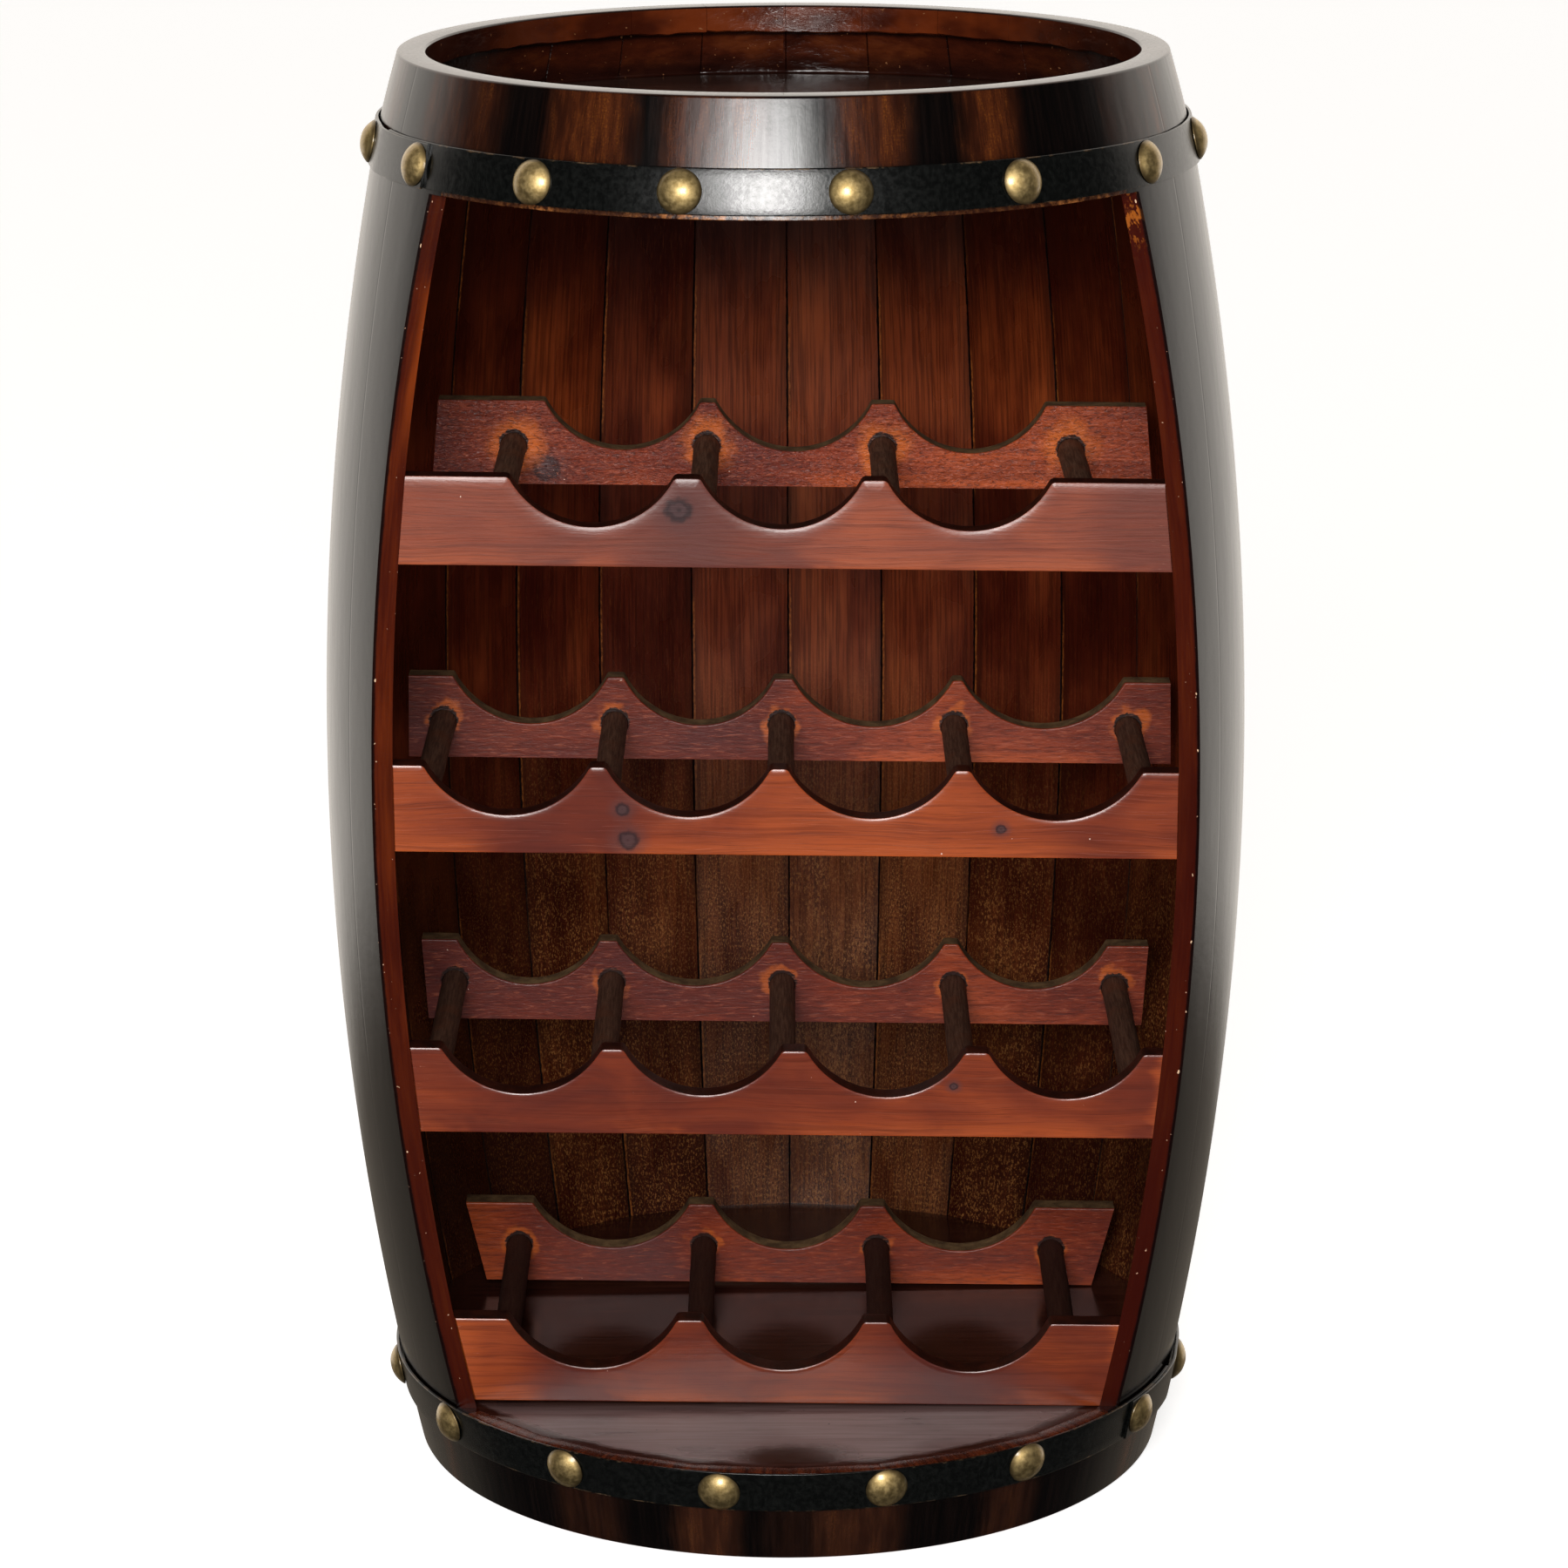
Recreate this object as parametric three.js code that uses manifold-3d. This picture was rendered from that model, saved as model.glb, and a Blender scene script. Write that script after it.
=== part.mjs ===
// Barrel bar cabinet: a coopered barrel with a flat front opening, a serving tray sunk in its top,
// and four scalloped bottle racks inside. Millimetres, +Z up, the front faces -Y.
import * as THREE from 'three';
import { mergeVertices } from 'three/addons/utils/BufferGeometryUtils.js';
import Module from 'manifold-3d';

const wasm = await Module();
wasm.setup();

// ---------------------------------------------------------------- driving dimensions
const HEIGHT = 800;            // overall height
const R_END = 214;             // outside radius at both rims
const R_BELLY = 259;           // outside radius at mid height
const GAP = 0.3;               // clearance between pieces that touch
const FRONT_CUT = 128.4;       // distance from the barrel's axis to the flat front cut
const OPENING_BOTTOM = 54.5;   // lower edge of the front opening
const OPENING_TOP = 738.5;     // upper edge of the front opening
const LIP_HEIGHT = 15.5;       // turned band round the inside of the top rim
const LIP_RADIUS = 198.5;      // inside radius of that band
const TRAY_TOP = 758.5;        // surface of the serving tray
const TRAY_THICK = 14;
const FLOOR_TOP = 53.5;        // surface of the cabinet floor
const FLOOR_THICK = 16;
const ROUND = 60;              // facets round the barrel

// stave joints, in degrees round the barrel from the front, positive to the right
const FRONT_JOINTS = [-52.6, -39.45, -26.3, -13.15, 0, 13.15, 26.3, 39.45, 52.6];
const RIGHT_JOINTS = [52.6, 66.84, 81.08, 95.32, 109.56, 123.8];
const REAR_JOINTS = [123.8, 138.5, 152.7, 166.4, 179.6, 193.2, 206.8, 220.2, 233.5];
const LEFT_JOINTS = [233.5, 248.28, 263.06, 277.84, 292.62, 307.4];

// distance from the axis to the flat inside face of a stave, at each height
const INSIDE = [
  [0, 202.5], [54.5, 215.3], [110, 225.8], [190, 236.7], [295, 245.6], [400, 248.8], [505, 246.2],
  [600, 238.9], [680, 227.8], [738.5, 217.6], [744.2, 213.6], [784.5, 208],
];

// hoops: flat straps round both ends
const HOOP_THICK = 1.6;
const HOOP_STANDOFF = 1.2;
const TOP_HOOP = { z0: 741, z1: 764.5, lapFrom: -72, lapTo: -56.2, nailZ: 752.9 };
const BOTTOM_HOOP = { z0: 31.5, z1: 55, lapFrom: 57.5, lapTo: 73.3, nailZ: 43.4 };
const TOP_NAILS = [-82, -58.6, -35, -13.6, 8.7, 32.9, 58.4, 82, 106.5, 131, 155.5, 180, 204.5, 229, 253.5];
const BOTTOM_NAILS = [-82, -57.4, -32.9, -9.6, 13.7, 35.6, 60.6, 83, 107.5, 132, 156.5, 181, 205.5, 230, 254];
const NAIL_RADIUS = 11.7;
const NAIL_RISE = 6.2;
const SHANK_RADIUS = 2;
const LINK_HEIGHT = 5;         // hidden band behind the hoop that the nails of one hoop share
const LINK_IN = 0.35;
const LINK_OUT = 0.85;

// bottle racks, top row first: height of the top edge at the middle, and the scallops' left and right ends
const BOARD_HEIGHT = 48.5;
const BOARD_THICK = 15;
const RACK_SLOPE = 0.014;      // the racks fall to the right by 14 mm in a metre
const REAR_RACK_Y = 65;        // front face of the rear boards, behind the barrel's axis
const DOWEL_RADIUS = 7.4;
const DOWEL_SEAT = 9;          // depth of a dowel's blind hole
const RACKS = [
  {
    name: 'row1', front: 584, frontDepth: 27, frontCuts: [[-148, -59.1], [-45.1, 41.9], [54.5, 143]],
    rear: 589, rearDepth: 28, rearCuts: [[-136.8, -48], [-39.5, 49.8], [62.8, 149.2]],
    rearEnds: [-197.4, -201.8, 210.5, 206.3], dowelDrop: 26.3, dowels: [-155, -44.6, 55.8, 163.4],
  },
  {
    name: 'row2', front: 424, frontDepth: 27.4, frontCuts: [[-196.8, -106.3], [-97.8, -8.1], [0.9, 92.1], [100.1, 193.7]],
    rear: 427, rearDepth: 28, rearCuts: [[-192.1, -103.1], [-93.5, -6.4], [4.2, 96.8], [102.4, 196.1]],
    rearEnds: [-217.8, -218.6, 223.4, 222.6], dowelDrop: 27.8, dowels: [-198.2, -98.9, -2.5, 97.5, 198.2],
  },
  {
    name: 'row3', front: 263.5, frontDepth: 26, frontCuts: [[-190.3, -101.9], [-90, -2.5], [10.9, 98.2], [111.1, 196.5]],
    rear: 268, rearDepth: 27, rearCuts: [[-192.8, -109.6], [-99.4, -8.5], [1.2, 92.5], [100.7, 188]],
    rearEnds: [-213.7, -210.4, 208.6, 212.2], dowelDrop: 26.2, dowels: [-194.8, -102.7, -2.5, 97.8, 192.4],
  },
  {
    name: 'row4', front: 105.2, frontDepth: 28.8, frontCuts: [[-156.1, -61.8], [-47.3, 42.4], [56.8, 146.7]],
    rear: 105.2, rearDepth: 27.6, rearCuts: [[-150.9, -58.3], [-43.8, 43.6], [57.6, 147.1]],
    rearEnds: [-190.8, -179.2, 181.1, 194.2], dowelDrop: 27.4, dowels: [-159.6, -49.7, 52.9, 156.7],
  },
];

// ---------------------------------------------------------------- helpers
const rad = THREE.MathUtils.degToRad;
const outside = (z) => R_BELLY - (R_BELLY - R_END) * ((z - HEIGHT / 2) / (HEIGHT / 2)) ** 2;

function inside(z) {
  for (let i = 1; i < INSIDE.length; i++) {
    const [z0, r0] = INSIDE[i - 1];
    const [z1, r1] = INSIDE[i];
    if (z <= z1) return r0 + ((r1 - r0) * (z - z0)) / (z1 - z0);
  }
  return INSIDE[INSIDE.length - 1][1];
}

// a closed geometry as a solid that can be joined and cut
function solid(geometry) {
  const g = geometry.clone();
  g.deleteAttribute('normal');
  g.deleteAttribute('uv');
  const m = mergeVertices(g, 1e-4);
  const p = m.attributes.position.array;
  const idx = m.index.array;
  const tris = [];
  for (let i = 0; i < idx.length; i += 3) {
    const [a, b, c] = [idx[i], idx[i + 1], idx[i + 2]];
    if (a !== b && b !== c && c !== a) tris.push(a, b, c);
  }
  const make = (t) => new wasm.Manifold(new wasm.Mesh({ numProp: 3, vertProperties: new Float32Array(p), triVerts: new Uint32Array(t) }));
  let s = make(tris);
  if (s.volume() < 0) {
    for (let i = 0; i < tris.length; i += 3) [tris[i], tris[i + 1]] = [tris[i + 1], tris[i]];
    s = make(tris);
  }
  return s;
}

function geometryOf(s) {
  const m = s.getMesh();
  const g = new THREE.BufferGeometry();
  g.setAttribute('position', new THREE.BufferAttribute(new Float32Array(m.vertProperties), 3));
  g.setIndex(new THREE.BufferAttribute(new Uint32Array(m.triVerts), 1));
  g.computeVertexNormals();
  return g;
}

// turned solid: profile points are [radius, height]
function turned(profile, segments = ROUND) {
  const g = new THREE.LatheGeometry(profile.map(([r, z]) => new THREE.Vector2(r, z)), segments);
  g.rotateX(Math.PI / 2);
  return g;
}

function polygon(points) {
  const s = new THREE.Shape();
  points.forEach(([x, y], i) => (i ? s.lineTo(x, y) : s.moveTo(x, y)));
  s.closePath();
  return s;
}

// upright wedge between two angles; each side stands back by half a joint gap
function wedge(a0, a1, z0, z1, back0 = GAP / 2, back1 = GAP / 2) {
  const L = 420;
  const d0 = [Math.sin(rad(a0)), -Math.cos(rad(a0))];
  const d1 = [Math.sin(rad(a1)), -Math.cos(rad(a1))];
  const n0 = [-d0[1], d0[0]];
  const n1 = [-d1[1], d1[0]];
  const p0 = [n0[0] * back0, n0[1] * back0];
  const p1 = [-n1[0] * back1, -n1[1] * back1];
  const on = (p, d, t) => [p[0] + d[0] * t, p[1] + d[1] * t];
  const g = new THREE.ExtrudeGeometry(polygon([on(p0, d0, 150), on(p0, d0, L), on(p1, d1, L), on(p1, d1, 150)]), { depth: z1 - z0, bevelEnabled: false });
  g.translate(0, 0, z0);
  return solid(g);
}

function box(x0, x1, y0, y1, z0, z1) {
  const g = new THREE.BoxGeometry(x1 - x0, y1 - y0, z1 - z0);
  g.translate((x0 + x1) / 2, (y0 + y1) / 2, (z0 + z1) / 2);
  return solid(g);
}

// ---------------------------------------------------------------- barrel staves
const LEVELS = [0, 44, 130, 220, 310, 400, 490, 580, 670, 756, 800];
const barrelOutside = solid(turned([[0, 0], ...LEVELS.map((z) => [outside(z), z]), [0, HEIGHT]]));
const lipBore = solid(turned([[0, HEIGHT - LIP_HEIGHT - 4], [LIP_RADIUS, HEIGHT - LIP_HEIGHT - 4], [LIP_RADIUS, HEIGHT + 5], [0, HEIGHT + 5]]));

// one stave's plank: a bent board with a flat inside face, before its edges and outside are worked
function plank(azimuth, z0, z1, inset = 0, reach = 30, lip = true) {
  const lipBottom = HEIGHT - LIP_HEIGHT;
  const zs = [z0, ...INSIDE.map(([z]) => z).filter((z) => z > z0 + 0.01 && z < Math.min(z1, lipBottom) - 0.01)];
  const inner = zs.map((z) => [inside(z) - inset, z]);
  if (z1 > lipBottom) {
    inner.push([inside(lipBottom) - inset, lipBottom]);
    const r = lip ? LIP_RADIUS - 6 : inside(lipBottom);
    inner.push([r - inset, lipBottom + 0.01], [r - inset, z1]);
  } else inner.push([inside(z1) - inset, z1]);
  const shape = polygon([...inner, [R_BELLY + reach, z1], [R_BELLY + reach, z0]]);
  const half = 60;
  const g = new THREE.ExtrudeGeometry(shape, { depth: 2 * half, bevelEnabled: false });
  g.translate(0, 0, -half);
  const a = rad(azimuth);
  g.applyMatrix4(new THREE.Matrix4().makeBasis(
    new THREE.Vector3(Math.sin(a), -Math.cos(a), 0),
    new THREE.Vector3(0, 0, 1),
    new THREE.Vector3(-Math.cos(a), -Math.sin(a), 0)));
  return solid(g);
}

function stave(a0, a1, z0, z1, back0, back1) {
  return plank((a0 + a1) / 2, z0, z1)
    .intersect(wedge(a0, a1, z0 - 5, z1 + 5, back0, back1))
    .intersect(barrelOutside)
    .subtract(lipBore);
}

const frontCut = box(-300, 300, -400, -FRONT_CUT, OPENING_BOTTOM, OPENING_TOP);

// ---------------------------------------------------------------- materials
const lacquer = new THREE.MeshStandardMaterial({ color: 0x2a1710, roughness: 0.28, metalness: 0 });
const rackWood = new THREE.MeshStandardMaterial({ color: 0x8a4a33, roughness: 0.38, metalness: 0 });
const rearWood = new THREE.MeshStandardMaterial({ color: 0x5e2e26, roughness: 0.55, metalness: 0 });
const dowelWood = new THREE.MeshStandardMaterial({ color: 0x2c231d, roughness: 0.7, metalness: 0 });
const panelWood = new THREE.MeshStandardMaterial({ color: 0x32181a, roughness: 0.2, metalness: 0 });
const strap = new THREE.MeshStandardMaterial({ color: 0x14171a, roughness: 0.42, metalness: 0.2 });
const brass = new THREE.MeshStandardMaterial({ color: 0x8c7440, roughness: 0.35, metalness: 0.9 });

const barrel = new THREE.Group();

function add(name, geometry, material, parent = barrel) {
  const mesh = new THREE.Mesh(geometry, material.clone());
  mesh.name = name;
  parent.add(mesh);
  return mesh;
}

// full-height staves; the two beside the opening are ripped along the front cut
const sides = [['right_stave', RIGHT_JOINTS], ['rear_stave', REAR_JOINTS], ['left_stave', LEFT_JOINTS]];
for (const [name, joints] of sides) {
  for (let i = 1; i < joints.length; i++) {
    let s = stave(joints[i - 1], joints[i], 0, HEIGHT);
    const besideOpening = (name === 'right_stave' && i === 1) || (name === 'left_stave' && i === joints.length - 1);
    if (besideOpening) s = s.subtract(frontCut);
    add(`${name}_${i}`, geometryOf(s), lacquer);
  }
}

// short staves of the front, above and below the opening, glued in pairs
for (let i = 0; i < 4; i++) {
  const [a, b, c] = FRONT_JOINTS.slice(2 * i, 2 * i + 3);
  const pair = (z0, z1) => stave(a, b, z0, z1, GAP / 2, -0.1).add(stave(b, c, z0, z1, -0.1, GAP / 2));
  add(`front_top_stave_pair_${i + 1}`, geometryOf(pair(OPENING_TOP, HEIGHT)), lacquer);
  add(`front_bottom_stave_pair_${i + 1}`, geometryOf(pair(0, OPENING_BOTTOM)), lacquer);
}

// ---------------------------------------------------------------- tray and floor panels
const ALL_JOINTS = [...FRONT_JOINTS, ...RIGHT_JOINTS.slice(1), ...REAR_JOINTS.slice(1), ...LEFT_JOINTS.slice(1, -1)];

// a many-sided panel that fits the flat inside faces of the staves, tapering from bottom to top
function panel(z0, z1) {
  const n = ALL_JOINTS.length;
  const mids = ALL_JOINTS.map((a, i) => rad((a + (i + 1 < n ? ALL_JOINTS[i + 1] : ALL_JOINTS[0] + 360)) / 2));
  const corner = (i) => {
    const a = mids[(i + n - 1) % n];
    const b = mids[i];
    const det = Math.sin(b - a);
    const [na, nb] = [[Math.sin(a), -Math.cos(a)], [Math.sin(b), -Math.cos(b)]];
    return [(nb[1] - na[1]) / det, (na[0] - nb[0]) / det];
  };
  const unit = ALL_JOINTS.map((_, i) => corner(i));
  const g = new THREE.ExtrudeGeometry(polygon(unit.map(([x, y]) => [x, y])), { depth: 1, bevelEnabled: false });
  const p = g.attributes.position;
  for (let i = 0; i < p.count; i++) {
    const z = p.getZ(i) > 0.5 ? z1 : z0;
    const r = inside(z) - GAP;
    p.setXYZ(i, p.getX(i) * r, p.getY(i) * r, z);
  }
  return geometryOf(solid(g));
}
add('tray_panel', panel(TRAY_TOP - TRAY_THICK, TRAY_TOP), panelWood);
add('floor_panel', panel(FLOOR_TOP - FLOOR_THICK, FLOOR_TOP), panelWood);

// ---------------------------------------------------------------- hoops and their nails
const taper = (z) => Math.atan((outside(z + 5) - outside(z - 5)) / 10);

function strapRing(h, from, to) {
  return solid(turned([
    [outside(h.z0) + from, h.z0], [outside(h.z0) + to, h.z0],
    [outside(h.z1) + to, h.z1], [outside(h.z1) + from, h.z1], [outside(h.z0) + from, h.z0],
  ]));
}

// places a geometry, whose axis is +Z from the strap outward, at an angle and height on the barrel
function onBarrel(g, azimuth, z, offset) {
  const a = rad(azimuth);
  const t = taper(z);
  const out = new THREE.Vector3(Math.sin(a) * Math.cos(t), -Math.cos(a) * Math.cos(t), -Math.sin(t));
  const side = new THREE.Vector3(Math.cos(a), Math.sin(a), 0);
  const up = new THREE.Vector3().crossVectors(out, side);
  const r = outside(z);
  g.translate(0, 0, offset * Math.cos(t));
  g.applyMatrix4(new THREE.Matrix4().makeBasis(side, up, out));
  g.translate(Math.sin(a) * r, -Math.cos(a) * r, z);
  return g;
}

function hoop(name, h, nails) {
  let s = strapRing(h, HOOP_STANDOFF, HOOP_STANDOFF + HOOP_THICK);
  const lap = strapRing(h, HOOP_STANDOFF + 0.4, HOOP_STANDOFF + 2 * HOOP_THICK).intersect(wedge(h.lapFrom, h.lapTo, h.z0 - 5, h.z1 + 5, 0, 0));
  s = s.add(lap);
  for (const a of nails) {
    const hole = new THREE.CylinderGeometry(SHANK_RADIUS + 2 * GAP, SHANK_RADIUS + 2 * GAP, 12, 6);
    hole.rotateX(Math.PI / 2);
    s = s.subtract(solid(onBarrel(hole, a, h.nailZ, HOOP_STANDOFF)));
  }
  add(name, geometryOf(s), strap);
}

function nailSet(name, h, nails) {
  const z0 = h.nailZ - LINK_HEIGHT / 2;
  let s = strapRing({ z0, z1: z0 + LINK_HEIGHT }, LINK_IN, LINK_OUT);
  for (const a of nails) {
    const lapped = a > h.lapFrom && a < h.lapTo;
    const seat = HOOP_STANDOFF + HOOP_THICK + (lapped ? HOOP_THICK : 0) + GAP;
    const root = LINK_IN + 0.03 - seat * Math.cos(taper(h.nailZ));
    const head = turned([
      [0, root], [SHANK_RADIUS, root], [SHANK_RADIUS, 0], [NAIL_RADIUS, 0],
      [NAIL_RADIUS * 0.7, NAIL_RISE * 0.7], [0, NAIL_RISE],
    ], 12);
    s = s.add(solid(onBarrel(head, a, h.nailZ, seat)));
  }
  add(name, geometryOf(s), brass);
}

hoop('top_hoop', TOP_HOOP, TOP_NAILS);
hoop('bottom_hoop', BOTTOM_HOOP, BOTTOM_NAILS);
nailSet('top_hoop_nails', TOP_HOOP, TOP_NAILS);
nailSet('bottom_hoop_nails', BOTTOM_HOOP, BOTTOM_NAILS);

// ---------------------------------------------------------------- bottle racks
// outline of a rack board, measured from its top edge: ends are [topLeft, bottomLeft, bottomRight, topRight]
function boardShape(ends, cuts, depth) {
  const [tl, bl, br, tr] = ends;
  const s = new THREE.Shape();
  s.moveTo(bl, -BOARD_HEIGHT);
  s.lineTo(br, -BOARD_HEIGHT);
  s.lineTo(tr, 0);
  for (const [x0, x1] of [...cuts].reverse()) {
    const half = (x1 - x0) / 2;
    const r = (half * half + depth * depth) / (2 * depth);
    const drop = r - depth;
    s.lineTo(x1, 0);
    s.absarc((x0 + x1) / 2, drop, r, Math.atan2(-drop, half), Math.atan2(-drop, -half) , true);
  }
  s.lineTo(tl, 0);
  s.closePath();
  return s;
}

function board(ends, cuts, depth, top, faceY) {
  const g = new THREE.ExtrudeGeometry(boardShape(ends, cuts, depth), { depth: BOARD_THICK, bevelEnabled: false, curveSegments: 8 });
  g.rotateX(Math.PI / 2);
  g.translate(0, faceY + BOARD_THICK, 0);
  g.rotateY(RACK_SLOPE);
  g.translate(0, 0, top);
  return solid(g);
}

// what the staves beside the opening take up, with the joint gap, to trim the ends of the front boards
const wallRight = plank((RIGHT_JOINTS[0] + RIGHT_JOINTS[1]) / 2, 20, 780, GAP, 60, false);
const wallLeft = plank((LEFT_JOINTS[4] + LEFT_JOINTS[5]) / 2, 20, 780, GAP, 60, false);

const frontY = -FRONT_CUT;
const seatFront = frontY + BOARD_THICK - DOWEL_SEAT;
const seatRear = REAR_RACK_Y + DOWEL_SEAT;
for (const k of RACKS) {
  let front = board([-240, -240, 240, 240], k.frontCuts, k.frontDepth, k.front, frontY).subtract(wallRight).subtract(wallLeft);
  let rear = board(k.rearEnds, k.rearCuts, k.rearDepth, k.rear, REAR_RACK_Y);
  k.dowels.forEach((x, i) => {
    const z = k.rear - k.dowelDrop - RACK_SLOPE * x;
    const hole = new THREE.CylinderGeometry(DOWEL_RADIUS + GAP, DOWEL_RADIUS + GAP, seatRear - seatFront, 12);
    hole.translate(x, (seatFront + seatRear) / 2, z);
    const bore = solid(hole);
    front = front.subtract(bore);
    rear = rear.subtract(bore);
    const dowel = add(`${k.name}_dowel_${i + 1}`, new THREE.CylinderGeometry(DOWEL_RADIUS, DOWEL_RADIUS, seatRear - seatFront - 2 * GAP, 12), dowelWood);
    dowel.position.set(x, (seatFront + seatRear) / 2, z);
  });
  add(`${k.name}_front_board`, geometryOf(front), rackWood);
  add(`${k.name}_rear_board`, geometryOf(rear), rearWood);
}

// the cabinet stands with the middle of its footprint box on the origin
const cabinet = new THREE.Group();
cabinet.add(barrel);
cabinet.updateMatrixWorld(true);
const bounds = new THREE.Box3().setFromObject(cabinet, true);
barrel.position.set(-(bounds.min.x + bounds.max.x) / 2, -(bounds.min.y + bounds.max.y) / 2, 0);

export default cabinet;
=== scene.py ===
import math

import bmesh
import bpy
import numpy as np
from mathutils import Matrix, Vector


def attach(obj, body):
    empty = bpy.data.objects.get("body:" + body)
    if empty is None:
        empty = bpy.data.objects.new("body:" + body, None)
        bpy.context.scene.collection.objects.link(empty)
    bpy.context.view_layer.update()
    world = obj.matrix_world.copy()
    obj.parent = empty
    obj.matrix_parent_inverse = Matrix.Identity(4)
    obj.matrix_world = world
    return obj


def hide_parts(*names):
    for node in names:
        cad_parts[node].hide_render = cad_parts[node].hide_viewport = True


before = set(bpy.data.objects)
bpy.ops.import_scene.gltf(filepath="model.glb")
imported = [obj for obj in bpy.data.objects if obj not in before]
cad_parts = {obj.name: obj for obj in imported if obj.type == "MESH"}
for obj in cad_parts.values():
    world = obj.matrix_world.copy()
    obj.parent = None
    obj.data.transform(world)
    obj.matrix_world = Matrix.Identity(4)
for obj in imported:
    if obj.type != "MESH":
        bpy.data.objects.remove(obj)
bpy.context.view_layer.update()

# Lengths are millimetres round the barrel's axis until a mesh is made. The axis stands a little
# in front of the frame's origin.
AXIS_Y = -14.231
HEIGHT = 800.0
FRONT = 128.4
OPEN_LOW, OPEN_HIGH = 54.5, 738.5
TRAY_TOP, FLOOR_TOP = 758.5, 53.5

FRONT_JOINTS = [-52.6, -39.45, -26.3, -13.15, 0, 13.15, 26.3, 39.45, 52.6]
RIGHT_JOINTS = [52.6, 66.84, 81.08, 95.32, 109.56, 123.8]
REAR_JOINTS = [123.8, 138.5, 152.7, 166.4, 179.6, 193.2, 206.8, 220.2, 233.5]
LEFT_JOINTS = [233.5, 248.28, 263.06, 277.84, 292.62, 307.4]

rng = np.random.default_rng(7)


RIM_PULL = 2.9                                   # the rim draws in a little more than the curve of the staves below it


def outside(z):
    z = np.asarray(z, float)
    s = np.clip((z - 738.0) / 62.0, 0.0, 1.0)
    return 259.0 - 45.0 * ((z - 400.0) / 400.0) ** 2 - RIM_PULL * s * s * (1.6 - 0.6 * s)


def slope(z):
    z = np.asarray(z, float)
    s = np.clip((z - 738.0) / 62.0, 0.0, 1.0)
    return -45.0 * 2.0 * (z - 400.0) / 160000.0 - RIM_PULL * (3.2 * s - 1.8 * s * s) / 62.0


WALL = [(0, 11.5), (54.5, 10.1), (110, 9.8), (190, 10.0), (295, 10.3), (400, 10.2), (505, 9.8), (600, 9.3),
        (680, 9.1), (738.5, 9.0), (745, 8.9), (783.6, 9.6), (800, 10.0)]


def inside(z):
    return outside(z) - np.interp(z, [a for a, _ in WALL], [b for _, b in WALL])


# ------------------------------------------------------------------ smooth noise for mesh shapes
def lattice_noise(p, seed=0):
    """Value noise in -1..1 at points p (n, 3), one unit to a cell."""
    p = np.asarray(p, float)
    i = np.floor(p).astype(np.int64)
    f = p - i
    f = f * f * (3 - 2 * f)

    def h(a, b, c):
        v = (a * 374761393 + b * 668265263 + c * 2147483647 + seed * 974634777) & 0xFFFFFFFF
        v = ((v ^ (v >> 13)) * 1274126177) & 0xFFFFFFFF
        v = v ^ (v >> 16)
        return (v & 0xFFFF) / 32767.5 - 1.0

    out = np.zeros(len(p))
    for dx in (0, 1):
        for dy in (0, 1):
            for dz in (0, 1):
                w = (f[:, 0] if dx else 1 - f[:, 0]) * (f[:, 1] if dy else 1 - f[:, 1]) * (f[:, 2] if dz else 1 - f[:, 2])
                out += w * h(i[:, 0] + dx, i[:, 1] + dy, i[:, 2] + dz)
    return out


# ------------------------------------------------------------------ node graphs
class V:
    """A socket that can be added, multiplied and compared."""

    def __init__(self, g, s):
        self.g, self.s = g, s

    def __add__(self, o): return self.g.math("ADD", self, o)
    def __radd__(self, o): return self.g.math("ADD", o, self)
    def __sub__(self, o): return self.g.math("SUBTRACT", self, o)
    def __rsub__(self, o): return self.g.math("SUBTRACT", o, self)
    def __mul__(self, o): return self.g.math("MULTIPLY", self, o)
    def __rmul__(self, o): return self.g.math("MULTIPLY", o, self)
    def __truediv__(self, o): return self.g.math("DIVIDE", self, o)


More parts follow.
